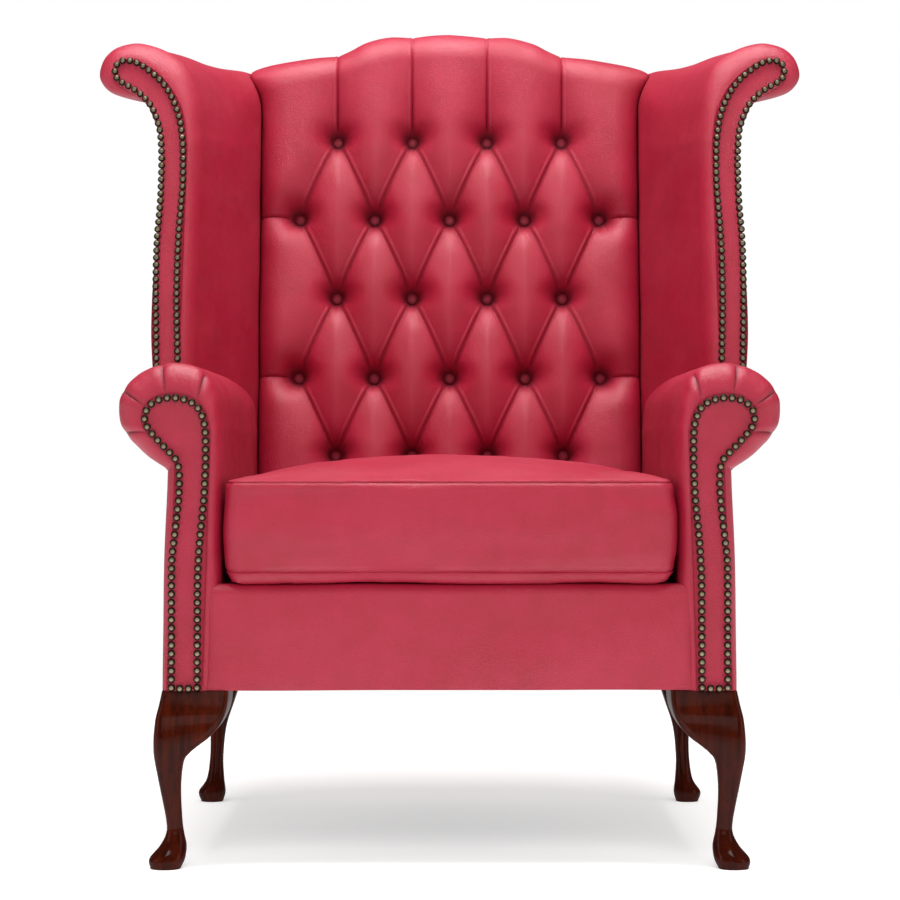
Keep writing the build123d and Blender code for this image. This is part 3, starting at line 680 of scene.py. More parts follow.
def arm_ring_on_frame():
    """The same outline further back, where the stuffing wraps the rails of the frame."""
    roll = arm_roll(0)
    corners = [roll[-1], (-ARM_INSIDE, ABOVE_SEAT_RAIL), *ARM_TIMBER, roll[0]]
    return np.array([*roll, *path(corners, (44, 4, 10, 5, 4, 5, 3, 7))[:-1]])


print("ring:", len(arm_ring(0, FLOOR_OF_FRAME)), "and", len(arm_ring_on_frame()), "points")

# %% Rings from the facing back to the frame
TURN = np.linspace(0, pi / 2, 15)
ARM_BACK = 32.2
HAIR = 0.05


def arm_rings():
    rings = []
    for turn in TURN:
        outline = arm_ring(1 - sin(turn), FLOOR_OF_FRAME)
        behind = ARM_FRONT + FACING + ARM_NOSE * (1 - cos(turn))
        rings.append(upright(outline[:, 0], behind, outline[:, 1]))
    start = ARM_FRONT + FACING + ARM_NOSE
    outline = arm_ring_on_frame()
    end = frame_face(outline[:, 1]) + ARM_BACK / cos(RAKE)
    for share in np.linspace(0, 1, 52) ** 0.85:
        rings.append(upright(outline[:, 0], start + share * (end - start) + HAIR, outline[:, 1]))
    for further, inset in ((0.1, 0.0), (1.4, 0.3), (2.2, 1.2)):
        outline = smaller(arm_ring(0, ABOVE_SEAT_RAIL), inset)
        end = frame_face(outline[:, 1]) + (ARM_BACK + further) / cos(RAKE)
        rings.append(upright(outline[:, 0], end, outline[:, 1]))
    return np.array(rings)


# %% [markdown]
# The pleats are shallow folds that run across the turned front, deepest at the facing. Each is
# a narrow groove with a swelling on either side of it. Inside, the colour is painted darker, as
# painted shade.

# %% Pleats on the front of the roll
ARM_PLEATS = [(-365.6, 496.0), (-369.0, 540.7), (-327.9, 565.8), (-280.9, 556.7)]
GROOVE, SWELLING = 1.8, 1.3
GROOVE_WIDTH = 1.7
MIDDLE_OF_ARM = (-318, 0, 440)


def hump(away, width):
    """1 where away is 0, falling softly to nothing on both sides."""
    return np.exp(-((away / width) ** 2))


def gathered(rings):
    """Amounts to push the rings by, and how much painted shade each place gets, for the arm's
    pleats.
    """
    amounts = np.zeros(rings.shape[:2])
    dark = np.zeros(rings.shape[:2])
    front = rings[len(TURN) // 2]
    reach = np.concatenate([[0], np.cumsum(np.linalg.norm(np.diff(front, axis=0), axis=1))])
    places = [reach[np.argmin(np.linalg.norm(front[:, (0, 2)] - p, axis=1))] for p in ARM_PLEATS]
    for row, turn in enumerate(TURN[1:-1], 1):
        fade = sin(turn * 2) ** 0.6
        for place in places:
            away = np.abs(reach - place)
            amounts[row] -= GROOVE * fade * hump(away, GROOVE_WIDTH)
            amounts[row] += SWELLING * fade * hump(away - 9, 6)
            # Painted shade along each pleat's groove.
            dark[row] += 0.75 * fade * hump(away, GROOVE_WIDTH * 1.1)
    return amounts, dark


rings = arm_rings()
amounts, dark = gathered(rings)
rings = push(rings, amounts, rings * (0, 1, 0) + MIDDLE_OF_ARM)
left_arm = loft("left_arm", rings, tuck_shade=dark)
swell(left_arm, 0.7 * ripples(read_points(left_arm), 70, 1))
print(f"arm: {litres(left_arm):.1f} litres")

# %% [markdown]
# The facing is a thin padded board in the outline of the nose. By hand: a filled circle, its
# points dragged to the outline, extruded forwards and inset three times to round its edge.

# %% Facings
ROUNDED_EDGE = 2.0


def facing(name, outline, place):
    """A padded board. place turns across, up and forwards into a point, in millimetres."""
    select_only()
    bpy.ops.mesh.primitive_circle_add(vertices=len(outline), fill_type="NGON", radius=1)
    piece = named(name)
    put_points(piece, place(outline[:, 0], outline[:, 1], 0))
    forwards = (place(0, 0, 1) - place(0, 0, 0)) * MM * (FACING - ROUNDED_EDGE)
    edit_all()
    bpy.ops.mesh.extrude_region_move(TRANSFORM_OT_translate={"value": tuple(forwards)})
    for wide, tall in ((0.7, 0.9), (1.6, 0.8), (3.6, 0.3)):
        bpy.ops.mesh.inset(thickness=wide * MM, depth=tall * MM)
    turn_outwards()
    mark(piece, "tuck_shade", np.zeros(len(piece.data.vertices)))
    return piece


def arm_facing_outline():
    roll = arm_roll(1)
    inner = (-ARM_INSIDE - NOSE_INSET, FLOOR_OF_FRAME)
    outer = (-BASE_OUTSIDE + FACING_INSET, FLOOR_OF_FRAME)
    return np.array([*roll, *path([roll[-1], inner, outer, roll[0]], (30, 3, 28))[:-1]])


left_arm_facing = facing(
    "left_arm_front",
    arm_facing_outline(),
    lambda x, height, out: upright(x, ARM_FRONT + FACING - out, height),
)

# %% Outside of the arm, from the facing to the back
LEATHER = 2.2


def outside_arm_rings():
    """A panel: each ring climbs outside from the foot to the neck, and comes down inside."""
    share = np.linspace(0, 1, 40)
    height = FLOOR_OF_FRAME + share * (ARM_NECK - FLOOR_OF_FRAME)
    face = -BASE_OUTSIDE + (arm_roll(0)[0][0] + BASE_OUTSIDE) * share - 1.5 * np.sin(share * pi)
    foot = -BASE_OUTSIDE + FACING_INSET
    edge = foot + (arm_roll(1)[0][0] - foot) * share
    start = ARM_FRONT + FACING
    rings = []
    for turn in TURN:
        outside = edge + (face - edge) * sin(turn)
        inside = outside + LEATHER * (1 - share)
        behind = start + ARM_NOSE * (1 - cos(turn))
        rings.append([*upright(outside, behind, height), *upright(inside, behind, height)[::-1]])
    start += ARM_NOSE + HAIR
    end = frame_face(height) + ARM_BACK / cos(RAKE)
    inside = np.maximum(face + 1, POST_OUTSIDE)
    for run in np.linspace(0, 1, 60):
        behind = start + run * (end - start)
        rings.append([*upright(face, behind, height), *upright(inside, behind, height)[::-1]])
    return np.array(rings)


left_outside = loft("left_outside_arm_leather", outside_arm_rings())
swell(left_outside, 0.5 * ripples(read_points(left_outside), 90, 2))

# %% Leather on both arms
finish_both_sides(left_arm, leather, "arm_pad", fill=0.9)
finish_both_sides(left_arm_facing, leather, "arm_facing")
finish_both_sides(left_outside, leather, "outside_arm")

# %% [markdown]
# ## Nails
#
# Each facing is edged with brass nails, nearly touching. One nail is a circle that is extruded
# four times, smaller each time, into a low dome. It is copied along each row, every copy with
# its own points and a little tilt, as if driven by hand.


# %% A dome, copies of it, and one nail
def dome(corners, radius, steps):
    """A circle, extruded again and again. Each step says how far, and how much smaller."""
    select_only()
    bpy.ops.mesh.primitive_circle_add(vertices=corners, radius=radius * MM, fill_type="NGON")
    edit_all()
    for rise, shrink in steps:
        bpy.ops.mesh.extrude_region_move(TRANSFORM_OT_translate={"value": (0, 0, rise * MM)})
        bpy.ops.transform.resize(value=(shrink, shrink, 1), center_override=(0, 0, 0))
    turn_outwards()
    return bpy.context.object


def copies_of(one, name, places):
    """Copies of one piece, each with the points that places gives for it, joined."""
    copies = []
    for points in places:
        copy = bpy.data.objects.new(name, one.data.copy())
        put_points(copy, points)
        bpy.context.collection.objects.link(copy)
        copies.append(copy)
    print(f"{name}: {len(copies)} copies")
    return joined(name, copies)


NAIL = dome(12, 4.5, ((0.6, 1.0), (0.9, 0.88), (0.8, 0.7), (0.4, 0.45)))
# The crown value is near 1 only at the top of the dome, where the rubbed brass and painted
# highlight are.
mark(NAIL, "crown", np.clip((read_points(NAIL)[:, 2] - 1.2) / 1.5, 0, 1) ** 4)
chance = np.random.default_rng(7)


# %% Rows of nails
SUNK = 0.3
CROOKED = 0.045


def nail_row(name, line, pitch, out):
    """Nails along a line, evenly apart. out is the way that the face under them looks."""
    length = np.linalg.norm(np.diff(line, axis=0), axis=1).sum()
    out = Vector(out).normalized()
    one = read_points(NAIL)
    rows = []
    for place in evenly(line, int(round(length / pitch)) + 1):
        lean = Vector(chance.normal(0, CROOKED, 3)) + out
        turn = lean.to_track_quat("Z", "Y").to_matrix()
        rows.append(one @ np.array(turn).T + place - np.array(out) * SUNK)
    return copies_of(NAIL, name, rows)


ARM_NAILS = [
    (-317.0, 206.8), (-316.9, 261.2), (-316.7, 343.2), (-314.0, 375.1), (-311.0, 400.0),
    (-308.6, 424.1), (-308.0, 441.2), (-308.5, 455.0), (-311.2, 465.5), (-317.9, 473.6),
    (-332.2, 488.4), (-341.5, 499.5), (-346.7, 508.5), (-347.3, 516.5), (-344.8, 524.2),
    (-338.1, 531.5), (-328.2, 535.9), (-317.9, 537.2), (-307.7, 536.4), (-297.5, 533.3),
    (-288.9, 528.0), (-283.4, 520.1), (-280.0, 509.9), (-278.4, 497.0), (-278.0, 480.0),
    (-278.2, 457.7), (-280.3, 418.4), (-284.1, 381.3), (-286.1, 352.9), (-287.2, 326.1),
    (-287.4, 272.6), (-287.6, 206.8),
]
ON_ARM_FRONT = ARM_FRONT - 0.1
FORWARDS = (0, -1, 0)
line = soft_line(ARM_NAILS, 8)
left_nails = [
    nail_row("left_arm_nails", upright(line[:, 0], ON_ARM_FRONT, line[:, 1]), 9.7, FORWARDS),
    nail_row(
        "left_arm_foot_nails", upright([-307.4, -297.4], ON_ARM_FRONT, 205.8), 9.9, FORWARDS
    ),
]

# %% [markdown]
# ## Wings
#
# A wing is built like an arm, but on planes that lean with the back. It flares outwards, and
# its scroll rises a little on the way to the back. The wing stands on the arm: its foot is
# lost in the arm's roll, as the real leather is tucked in there.

# %% The wing's outlines, from the neck over the scroll
WING_INSIDE, WING_WIDTH = 331, 114
WING_NECK, WING_ROLL = 926, 70
WING_REACH, WING_NOSE = 347, 25
WING_FLARE, PANEL_FLARE, RISE = tan(radians(12.9)), tan(radians(7.2)), tan(radians(3.0))
WING_RUN = np.array([WING_FLARE, 1, RISE])
PANEL_RUN = np.array([PANEL_FLARE, 1, RISE])
WING_OUTLINE = [
    (0.544, 0.02), (0.86, 0.14), (1.02, 0.26), (1.11, 0.5), (1.07, 0.82), (0.95, 1.03),
    (0.79, 1.12), (0.63, 1.125), (0.38, 0.99), (0.13, 0.67), (-0.005, 0.12), (-0.06, -0.66),
]
WING_AT_BACK = WING_OUTLINE[:7] + [
    (0.63, 1.03), (0.4, 0.995), (0.16, 0.955), (-0.03, 0.52), (-0.06, -0.4),
]
WING_FACING = [
    (0.601, 0.064), (0.728, 0.207), (0.816, 0.293), (0.868, 0.443), (0.868, 0.586),
    (0.807, 0.729), (0.684, 0.786), (0.531, 0.7), (0.333, 0.457), (0.184, 0.136),
    (0.088, -0.243), (0.044, -0.8),
]
WING_INNER_FOOT, FACING_INNER_FOOT = (0.0, -6.09), (0.105, -6.09)
WING_OUTSIDE = [(0.307, -6.09), (0.412, -4.8), (0.43, -3.65), (0.35, -1.1), (0.42, -0.34)]
FACING_OUTSIDE = [(0.29, -6.09), (0.385, -4.8), (0.4, -3.65), (0.33, -1.1), (0.456, -0.19)]
# Across and height, up the post's inner side, round the rail and down the post's outer side.
WING_TIMBER = [
    (341.7, 499.7), (341.7, 940.3), (353.7, 940.3), (353.7, 966.3), (410.3, 966.3),
    (410.3, 939.7), (364.3, 939.7), (364.3, WING_NECK),
]
WALL_STEPS = [4, 8, 12, 16, 20, 25, 30, 35, 40, 45, 50, 54, 57, 60]
OUTER_WALL = 46


def on_wing(x, height, reach):
    """A place on the raked plane this far out, shifted with the wing's flare."""
    flared = (WING_REACH - reach) / cos(RAKE) * WING_FLARE
    return raked(x + flared, up_at(height, reach), reach)


def wing_size(shares):
    """Across and height, in millimetres, of shares of the wing's width and roll."""
    return np.asarray(shares, float) * (-WING_WIDTH, WING_ROLL) + (-WING_INSIDE, WING_NECK)


def wing_place(shares, reach):
    """Places of shares of the wing's outline, on the raked plane this far out."""
    return on_wing(*np.moveaxis(wing_size(shares), -1, 0), reach)


def blend(full, small, growth):
    return np.array(full) * (1 - growth) + np.array(small) * growth


def wing_ring(growth):
    """The outline of the wing's stuffing in front: scroll, inner wall, foot and outer wall."""
    roll = soft_line(blend(WING_OUTLINE, WING_FACING, growth), 12)
    inner = blend(WING_INNER_FOOT, FACING_INNER_FOOT, growth)
    outer = soft_line([*blend(WING_OUTSIDE, FACING_OUTSIDE, growth), roll[0]], 8)
    outer = evenly(outer, WALL_STEPS[-1] + 1)
    climb = outer[WALL_STEPS] * 0.999 + roll[0] * 0.001
    foot = path([roll[-1], inner, outer[0]], (44, 2))
    return np.array([*roll, *foot, *climb[:-1], *straight(climb[-2], roll[0], 33)[:-1]])


def wing_ring_on_frame(share=0.0):
    """The same further back, where the stuffing wraps the wing's post and rail."""
    full = np.clip((share - 0.35) / 0.4, 0, 1)
    roll = soft_line(blend(WING_OUTLINE, WING_AT_BACK, full * full * (3 - 2 * full)), 12)
    timber = np.subtract(WING_TIMBER, (WING_INSIDE, WING_NECK)) / (WING_WIDTH, WING_ROLL)
    corners = [roll[-1], WING_INNER_FOOT, *timber, roll[0]]
    return np.array([*roll, *path(corners, (44, 2, 14, 2, 3, 6, 3, 6, 3, 9))[:-1]])


# %% Rings from the wing's facing back to the frame
WING_START = WING_REACH - FACING - WING_NOSE
WING_LENGTH = 356.9
SPREAD, SPREAD_FROM, SPREAD_OVER = 16, 950, 50
BACK_SIDE = 262.6


def shoulder(height):
    """How much wider the back is near its top, where it spreads over the wings."""
    return SPREAD * np.clip((height - SPREAD_FROM) / SPREAD_OVER, 0, 1) ** 2


def gripped(ring):
    """Keep a wing clear of the back."""
    ring[:, 0] = np.minimum(ring[:, 0], -BACK_SIDE - shoulder(ring[:, 2]))
    return ring


def wing_rings():
    rings = []
    skin = np.zeros((len(wing_ring(0)), 3))
    skin[-OUTER_WALL:, 0] = SKIN
    for turn in TURN:
        reach = WING_REACH - FACING - WING_NOSE * (1 - cos(turn))
        rings.append(wing_place(wing_ring(1 - sin(turn)), reach) + skin)
    for share in np.linspace(0, 1, 40):
        start = wing_place(wing_ring_on_frame(share), WING_START)
        rings.append(gripped(start + WING_RUN * (share * WING_LENGTH + HAIR)))
    last = wing_ring(0)
    on_back = soft_line(WING_AT_BACK, 12)
    last[: len(on_back)] = on_back
    for further, inset in ((0.15, 0.0), (1.5, 0.3), (2.3, 1.2)):
        ring = wing_place(last, WING_START) + skin + WING_RUN * (WING_LENGTH + further)
        rings.append(gripped(smaller(ring, inset)))
    return np.array(rings)


left_wing = loft("left_wing", wing_rings())
swell(left_wing, 0.8 * ripples(read_points(left_wing), 80, 3))
put_points(left_wing, gripped(read_points(left_wing)))
print(f"wing: {litres(left_wing):.1f} litres")

# %% The wing's facing
def wing_facing_outline():
    """Across and height, in millimetres, clockwise from the neck."""
    roll = soft_line(WING_FACING, 12)
    outer = soft_line([*FACING_OUTSIDE, roll[0]], 8)
    foot = path([roll[-1], FACING_INNER_FOOT, outer[0]], (40, 2))
    return wing_size([*roll, *foot, *outer[1:-1]])


def on_wing_front(x, height, out):
    return on_wing(x, height, WING_REACH - FACING + out)


left_wing_facing = facing("left_wing_front", wing_facing_outline(), on_wing_front)

# %% The wing's outside panel
OUTSIDE_POST = 33.6 / WING_WIDTH
CLIMBS_FROM = 880


def outside_wing_rings():
    """A panel like the arm's, on the wing's planes. Its top edge follows the scroll's underside."""
    wide = soft_line([*WING_OUTSIDE, WING_OUTLINE[0]], 10)
    small = soft_line([*FACING_OUTSIDE, WING_FACING[0]], 10)
    taper = np.linspace(1, 0, len(wide))[:, None] * (LEATHER, 0, 0)
    rings = []
    for turn in TURN:
        reach = WING_REACH - FACING - WING_NOSE * (1 - cos(turn))
        outside = wing_place(small + (wide - small) * sin(turn), reach)
        rings.append([*outside, *(outside + taper)[::-1]])
    core = np.column_stack([np.minimum(wide[:, 0] - 0.01, OUTSIDE_POST), wide[:, 1]])
    start = wing_place([*wide, *core[::-1]], WING_START)
    underside = soft_line(WING_OUTLINE, 12)[:37]
    climbs = np.clip((start[:, 2] - CLIMBS_FROM) / (WING_NECK - CLIMBS_FROM), 0, 1)
    drift = (WING_FLARE - PANEL_FLARE) / WING_WIDTH
    for share in np.linspace(0, 1, 45):
        run = share * WING_LENGTH
        under = np.interp(WING_OUTLINE[0][0] + drift * run, *underside.T) - WING_OUTLINE[0][1]
        lift = np.outer(climbs * (WING_ROLL * under + 1.2 * share), (0, 0, 1))
        rings.append(start + PANEL_RUN * (run + HAIR) + lift)
    return np.array(rings)


left_outside_wing = loft("left_outside_wing_leather", outside_wing_rings())
swell(left_outside_wing, 0.5 * ripples(read_points(left_outside_wing), 90, 4))

# %% Leather on both wings
finish_both_sides(left_wing, leather, "wing_pad", fill=0.9)
finish_both_sides(left_wing_facing, leather, "wing_facing")
finish_both_sides(left_outside_wing, leather, "outside_wing")

# %% Nails of the wings
WING_NAILS = [
    (-369.0, 585.0), (-370.0, 624.1), (-371.3, 668.7), (-371.5, 714.7), (-370.6, 751.9),
    (-368.3, 784.2), (-367.3, 807.4), (-366.9, 848.9), (-369.0, 881.5), (-373.3, 899.7),
    (-380.4, 916.7), (-390.0, 929.5), (-400.5, 938.5), (-414.9, 947.3), (-423.3, 952.7),
    (-428.2, 959.6), (-428.4, 968.7), (-423.8, 976.5), (-413.0, 978.9), (-397.2, 974.0),
    (-382.6, 963.3), (-368.2, 950.0), (-358.2, 935.6), (-350.1, 918.6), (-344.6, 900.6),
    (-341.7, 881.5), (-340.0, 862.7), (-339.4, 824.9), (-340.8, 797.1), (-343.2, 761.5),
    (-344.6, 724.2), (-344.9, 668.7), (-343.5, 625.0), (-342.0, 585.0),
]
line = on_wing_front(*soft_line(WING_NAILS, 8).T, FACING + 0.1)
left_nails.append(nail_row("left_wing_nails", line, 9.3, (0, -cos(RAKE), sin(RAKE))))
for row in left_nails:
    finish_both_sides(row, brass, angle=60)
bpy.data.objects.remove(NAIL)

# %% [markdown]
# ## The buttoned back
#
# A buttoned back is leather pulled down to twenty-two buttons. The leather between them is
# spare, and is folded into pleats: slanting ones from button to button, upright ones over the
# crest and level ones to the sides. Stuffing swells in the tall diamonds that are left. By hand
# this is modelled on a grid whose corners fall on the buttons, so each pleat runs along the
# grid and not across it. Every pleat is a valley, sharp at its bottom, with the folded edge of
# the leather standing up on one side.

# %% Buttons and crest
HALF_BACK = 262
BUTTON_PITCH = 104
BUTTON_ROWS = [710, 599, 487, 374.5, 266]
TUFT_TOP = 78
FINE = 36
BUTTONS = [
    (BUTTON_PITCH * (place - (count - 1) / 2), up)
    for up, count in zip(BUTTON_ROWS, (4, 5, 4, 5, 4))
    for place in range(count)
]
CREST = [
    (0, 867.2), (70, 864.2), (88, 862), (104, 858), (120, 853), (137, 845.5), (154, 840.5),
    (171, 837), (205, 830.5), (238, 823.4), (255, 817.6), (262, 813),
]


def crest_at(x):
    line = soft_line(CREST, 8)
    return np.interp(np.abs(x), line[:, 0], line[:, 1])


print(len(BUTTONS), "buttons")

# %% Where the pleats run
# Each: start, end, depths at both ends, least depth, its power, and where the folded edge lies.
PLEATS = []
for (x1, up1) in BUTTONS:
    for (x2, up2) in BUTTONS:
        if abs(abs(x1 - x2) - BUTTON_PITCH / 2) < 1 and 0 < up1 - up2 < 120:
            PLEATS.append(((x1, up1), (x2, up2), 22, 22, 15.5, 2.2, 1))
for x, up in BUTTONS:
    side = 1 if x > 0 else -1
    if up == BUTTON_ROWS[0]:
        PLEATS.append(((x, up), (x, up + 235), 30, 0, 2.0, 2.4, -side))
    if up == BUTTON_ROWS[-1]:
        PLEATS.append(((x, up), (x, up - 160), 22, 0, 17.0, 2.2, -side))
    if abs(x) > 1.9 * BUTTON_PITCH:
        PLEATS.append(((x, up), (x + side * 66, up), 30, 0, 7.5, 1.8, side))
print(len(PLEATS), "pleats")

# %% How deep they and the buttons' wells are
LEVEL_EDGE, UPRIGHT_EDGE, SLANTING_EDGE = 6.16, 5.78, 6.54
LOW_FOLD, HIGH_FOLD = 0.62, 0.78
VALLEY, SLOPE = 8.5, 27
DEEPEST = 46


def one_pleat(x, up, start, end, first, last, least, power, side):
    """Depth, folded edge and painted shade that one pleat gives to each place."""
    run = np.subtract(end, start)
    length = np.hypot(*run)
    along, off = run / length, side * np.array([-run[1], run[0]]) / length
    if abs(run[1]) < 1:
        off, edge, height = np.array([0.0, 1.0]), LEVEL_EDGE, LOW_FOLD
    elif abs(run[0]) < 1:
        edge, height = UPRIGHT_EDGE, LOW_FOLD
    else:
        off, edge, height = off * np.sign(off[1]), SLANTING_EDGE, HIGH_FOLD
    t = ((x - start[0]) * along[0] + (up - start[1]) * along[1]) / length
    s = (x - start[0]) * off[0] + (up - start[1]) * off[1]
    held = np.clip(t, 0, 1)
    beyond = np.abs(t - held) * length
    away = np.hypot(s, beyond)
    from_middle = np.clip(1 - 2 * held, 0, 1) if last else 1 - held
    to_end = np.clip(2 * held - 1, 0, 1)
    deep = least + first * from_middle**power + last * to_end**power
    deep = deep * (0.42 * np.exp(-away / VALLEY) + 0.58 * hump(away, SLOPE))
    shown = np.clip((held * length - 7) / 12, 0, 1) * (beyond < 3)
    if last:
        shown = shown * np.clip(((1 - held) * length - 7) / 12, 0, 1)
    elif run[1] > 200:
        shown = shown * (1 - 0.6 * np.clip((held * length - 90) / 60, 0, 1))
    lip = 1 / (1 + np.exp(-(s - 1.0) / 0.35)) / (1 + np.exp((s - edge + 0.9) / 0.35))
    fold = 2.2 * hump(s, 1.2) - 1.6 * lip + 0.7 * hump(s - edge, 0.9)
    near = np.clip(1 - np.minimum(held, 1 - held if last else held) * 3.2, 0, 1)
    # Painted shade along the pleat's valley and beside its folded edge, strongest near the buttons.
    darkening = (0.26 + 0.5 * near) * np.maximum(hump(s, 1.4), 0.4 * hump(s - edge, 1.0))
    return deep, shown * height * fold, shown * darkening


def one_well(x, up, button_x, button_up):
    """The same for one button: a well, with a fan of little folds round it, and painted shade in
    the well.
    """
    r = np.hypot(x - button_x, up - button_up)
    angle = np.arctan2(up - button_up, x - button_x)
    fan = 0.45 * np.sin(11 * angle + button_x) * hump(r - 15, 6)
    return DEEPEST * np.exp(-((r / 17) ** 1.3)), fan, 1.1 * np.exp(-((r / 13) ** 2.6))


def pleated(x, up):
    """How deep the leather lies at each place, and how much painted shade it gets."""
    valleys, folds, dark = np.zeros((3, *x.shape))
    for shape, places in ((one_pleat, PLEATS), (one_well, BUTTONS)):
        for place in places:
            deep, fold, darkening = shape(x, up, *place)
            valleys += deep**4
            folds += fold
            dark = np.maximum(dark, darkening)
    return np.minimum(valleys**0.25, DEEPEST) + folds, dark


# %% [markdown]
# One column of the grid is a whole loop: up the front, over the crest, a little way down the
# back, and home again inside, around the frame's top rail and behind the stuffing. The columns
# then run from side to side. Close to the wings the pad turns back and is gripped by them.

# %% One column of the back, before its pleats
CAD_CREST = [(0, 860), (86, 856.1), (120, 848), (137, 838.9), (171, 830.8), (262, 811.8)]
PAD_FOOT = 126
CREST_TURN, CREST_BACK = 45, -20
CREST_FRONT = TUFT_TOP - CREST_TURN
EDGE_TURN = 11.6
PAD_BACK = CREST_BACK - EDGE_TURN
BEHIND_RAIL, FRONT_OF_RAIL, UNDER_LEATHER = -28.5, 3.4, 70


def frame_crest(x):
    """How far up the rake the frame's own crest is."""
    return float(np.interp(abs(x), *zip(*CAD_CREST)))


def back_column(x):
    """Base points as (up, reach), the way out at each, the unrolled height and what is covered."""
    top = float(crest_at(x))
    rail = frame_crest(x) - 24.6
    low_rail, turns_at, edge_at = rail - 26, top - CREST_TURN, top - EDGE_TURN
    front = []
    knots = [PAD_FOOT, *BUTTON_ROWS[::-1]]
    for low, high in zip(knots, knots[1:]):
        count = FINE if low > PAD_FOOT else 44
        front.extend(low + (high - low) * np.arange(count) / count)
    front.extend(np.linspace(BUTTON_ROWS[0], turns_at, FINE, endpoint=False))
    rows = [(up, TUFT_TOP, 0, 1, up, 1.0) for up in front]
    for turn in np.linspace(0, pi / 2, 20):
        s, c = sin(turn), cos(turn)
        up, reach = turns_at + CREST_TURN * s, CREST_FRONT + CREST_TURN * c
        rows.append((up, reach, s, c, turns_at + CREST_TURN * turn, 1.0))
    unrolled = rows[-1][4] + CREST_FRONT
    for reach in np.linspace(CREST_FRONT, CREST_BACK, 15)[1:]:
        rows.append((top, reach, 1, 0, unrolled - reach, 1.0))
    for turn in np.linspace(0, pi / 2, 7)[1:]:
        s, c = sin(turn), cos(turn)
        up, reach = edge_at + EDGE_TURN * c, CREST_BACK - EDGE_TURN * s
        rows.append((up, reach, c, -s, unrolled - CREST_BACK + 11 * turn, 1 - s))
    inside = [
        (edge_at, PAD_BACK), (low_rail, PAD_BACK), (low_rail, BEHIND_RAIL), (rail, BEHIND_RAIL),
        (rail, FRONT_OF_RAIL), (PAD_FOOT, FRONT_OF_RAIL), (PAD_FOOT, UNDER_LEATHER),
    ]
    hidden = path(inside, (8, 1, 5, 7, 60, 14))[:-1]
    rows.extend((up, reach, 0, 0, 0, 0.0) for up, reach in hidden)
    return np.array(rows)


across = np.arange(-181, 182) * (BUTTON_PITCH / 2 / FINE)
across = np.array([-HALF_BACK, *across, HALF_BACK])
columns = np.array([back_column(x) for x in across])
print("back:", columns.shape[0], "columns of", columns.shape[1], "points")

# %% The leather of the back
GRIPPED_FROM, GRIP_DEPTH = 224, 27
SPREADS_FROM = 200
X = np.repeat(across[:, None], columns.shape[1], axis=1)
UP, REACH, TO_UP, TO_OUT, UNROLLED, SHOWN = np.moveaxis(columns, 2, 0)
deep, dark = pleated(X, UNROLLED)
near_side = np.clip((np.abs(X) - GRIPPED_FROM) / (HALF_BACK - GRIPPED_FROM), 0, 1)
turned_back = GRIP_DEPTH * (1 - np.sqrt(np.maximum(1 - near_side**2, 0))) * TO_OUT**2
wander = ripples(np.column_stack([X.ravel(), UNROLLED.ravel(), 0 * X.ravel()]), 75, 5)
soft = wander.reshape(X.shape) * 1.1 * np.clip(1 - deep / 30, 0, 1)
sunk = (deep + turned_back + soft) * SHOWN
rings = raked(X, UP - sunk * TO_UP, REACH - sunk * TO_OUT)
at_side = np.clip((np.abs(X) - SPREADS_FROM) / (HALF_BACK - SPREADS_FROM), 0, 1)
rings[..., 0] += np.sign(X) * shoulder(rings[..., 2]) * at_side**2
back = loft("buttoned_back", rings, tuck_shade=dark * SHOWN)
print(f"back: {litres(back):.1f} litres, {len(back.data.vertices)} points")
finish(back, leather, "chair", ["back_pad"], 0.9, angle=75)

# %% [markdown]
# A button is a leather-covered dome on a short rim. One is made from a circle, extruded and
# narrowed, and copied to the twenty-two places on the raked plane.

# %% Buttons
BUTTON_REACH = 32.5
steps = ((1.6, 1.1), (1.6, 1.0), (1.8, 0.9), (1.3, 0.78), (0.8, 0.62), (0.35, 0.4))
button = dome(20, 8.0, steps)
points = read_points(button)
# Painted shade: each button is darkened except near its top, as if shaded by its well.
mark(button, "tuck_shade", 1.0 - 0.65 * (points[:, 2] / 7.5) ** 4)
places = (raked(x + points[:, 0], up + points[:, 1], BUTTON_REACH + points[:, 2])
          for x, up in BUTTONS)
buttons = copies_of(button, "leather_buttons", places)
bpy.data.objects.remove(button)
finish(buttons, leather, "chair", ["back_buttons"], 0.9)

# %% [markdown]
# The outside of the back is one flat panel of leather over thin stuffing. It ends just under
# the crest, where the leather of the front is brought over and tacked.

# %% Outside of the back
PANEL_HALF = 329
FRAME_BACK, PANEL_INNER = -35, -34.8
HEM = 5.5
PANEL_ROWS = 44


def outside_back_rings():
    rings = []
    over_post = np.linspace(HALF_BACK, PANEL_HALF, 14)
    for x in [*-over_post[::-1], *np.linspace(-257, 257, 56), *over_post]:
        near = max(0.0, abs(x) - HALF_BACK) / 63
        top = frame_crest(x) - 6 if near == 0 else 805.8 - 18.8 * near
        rim = min(1.0, (PANEL_HALF + 0.6 - abs(x)) / 4)
        full = 0.6 + 4.2 * (1 - (1 - rim) ** 2) ** 0.5
        heights = np.linspace(203.3, FLOOR_OF_FRAME + (top - 6) * cos(RAKE), PANEL_ROWS)
        swelling = 1.6 * np.sin(np.linspace(0, pi, PANEL_ROWS)) * rim
        ups = up_at(heights, FRAME_BACK)
        outer = raked(x, ups, PANEL_INNER - full - swelling)
        turns = [
            raked(x, ups[-1] + HEM * sin(turn), FRAME_BACK - (full - 0.2) * cos(turn))
            for turn in (0.5, 0.9, 1.3)
        ]
        end = raked(x, ups[-1] + HEM, PANEL_INNER)
        rings.append([*outer, *turns, end, *raked(x, ups[::-1], PANEL_INNER)])
    return np.array(rings)


outside_back = loft("outside_back_leather", outside_back_rings())
swell(outside_back, 0.6 * ripples(read_points(outside_back), 130, 6))
finish(outside_back, leather, "chair", ["outside_back"])

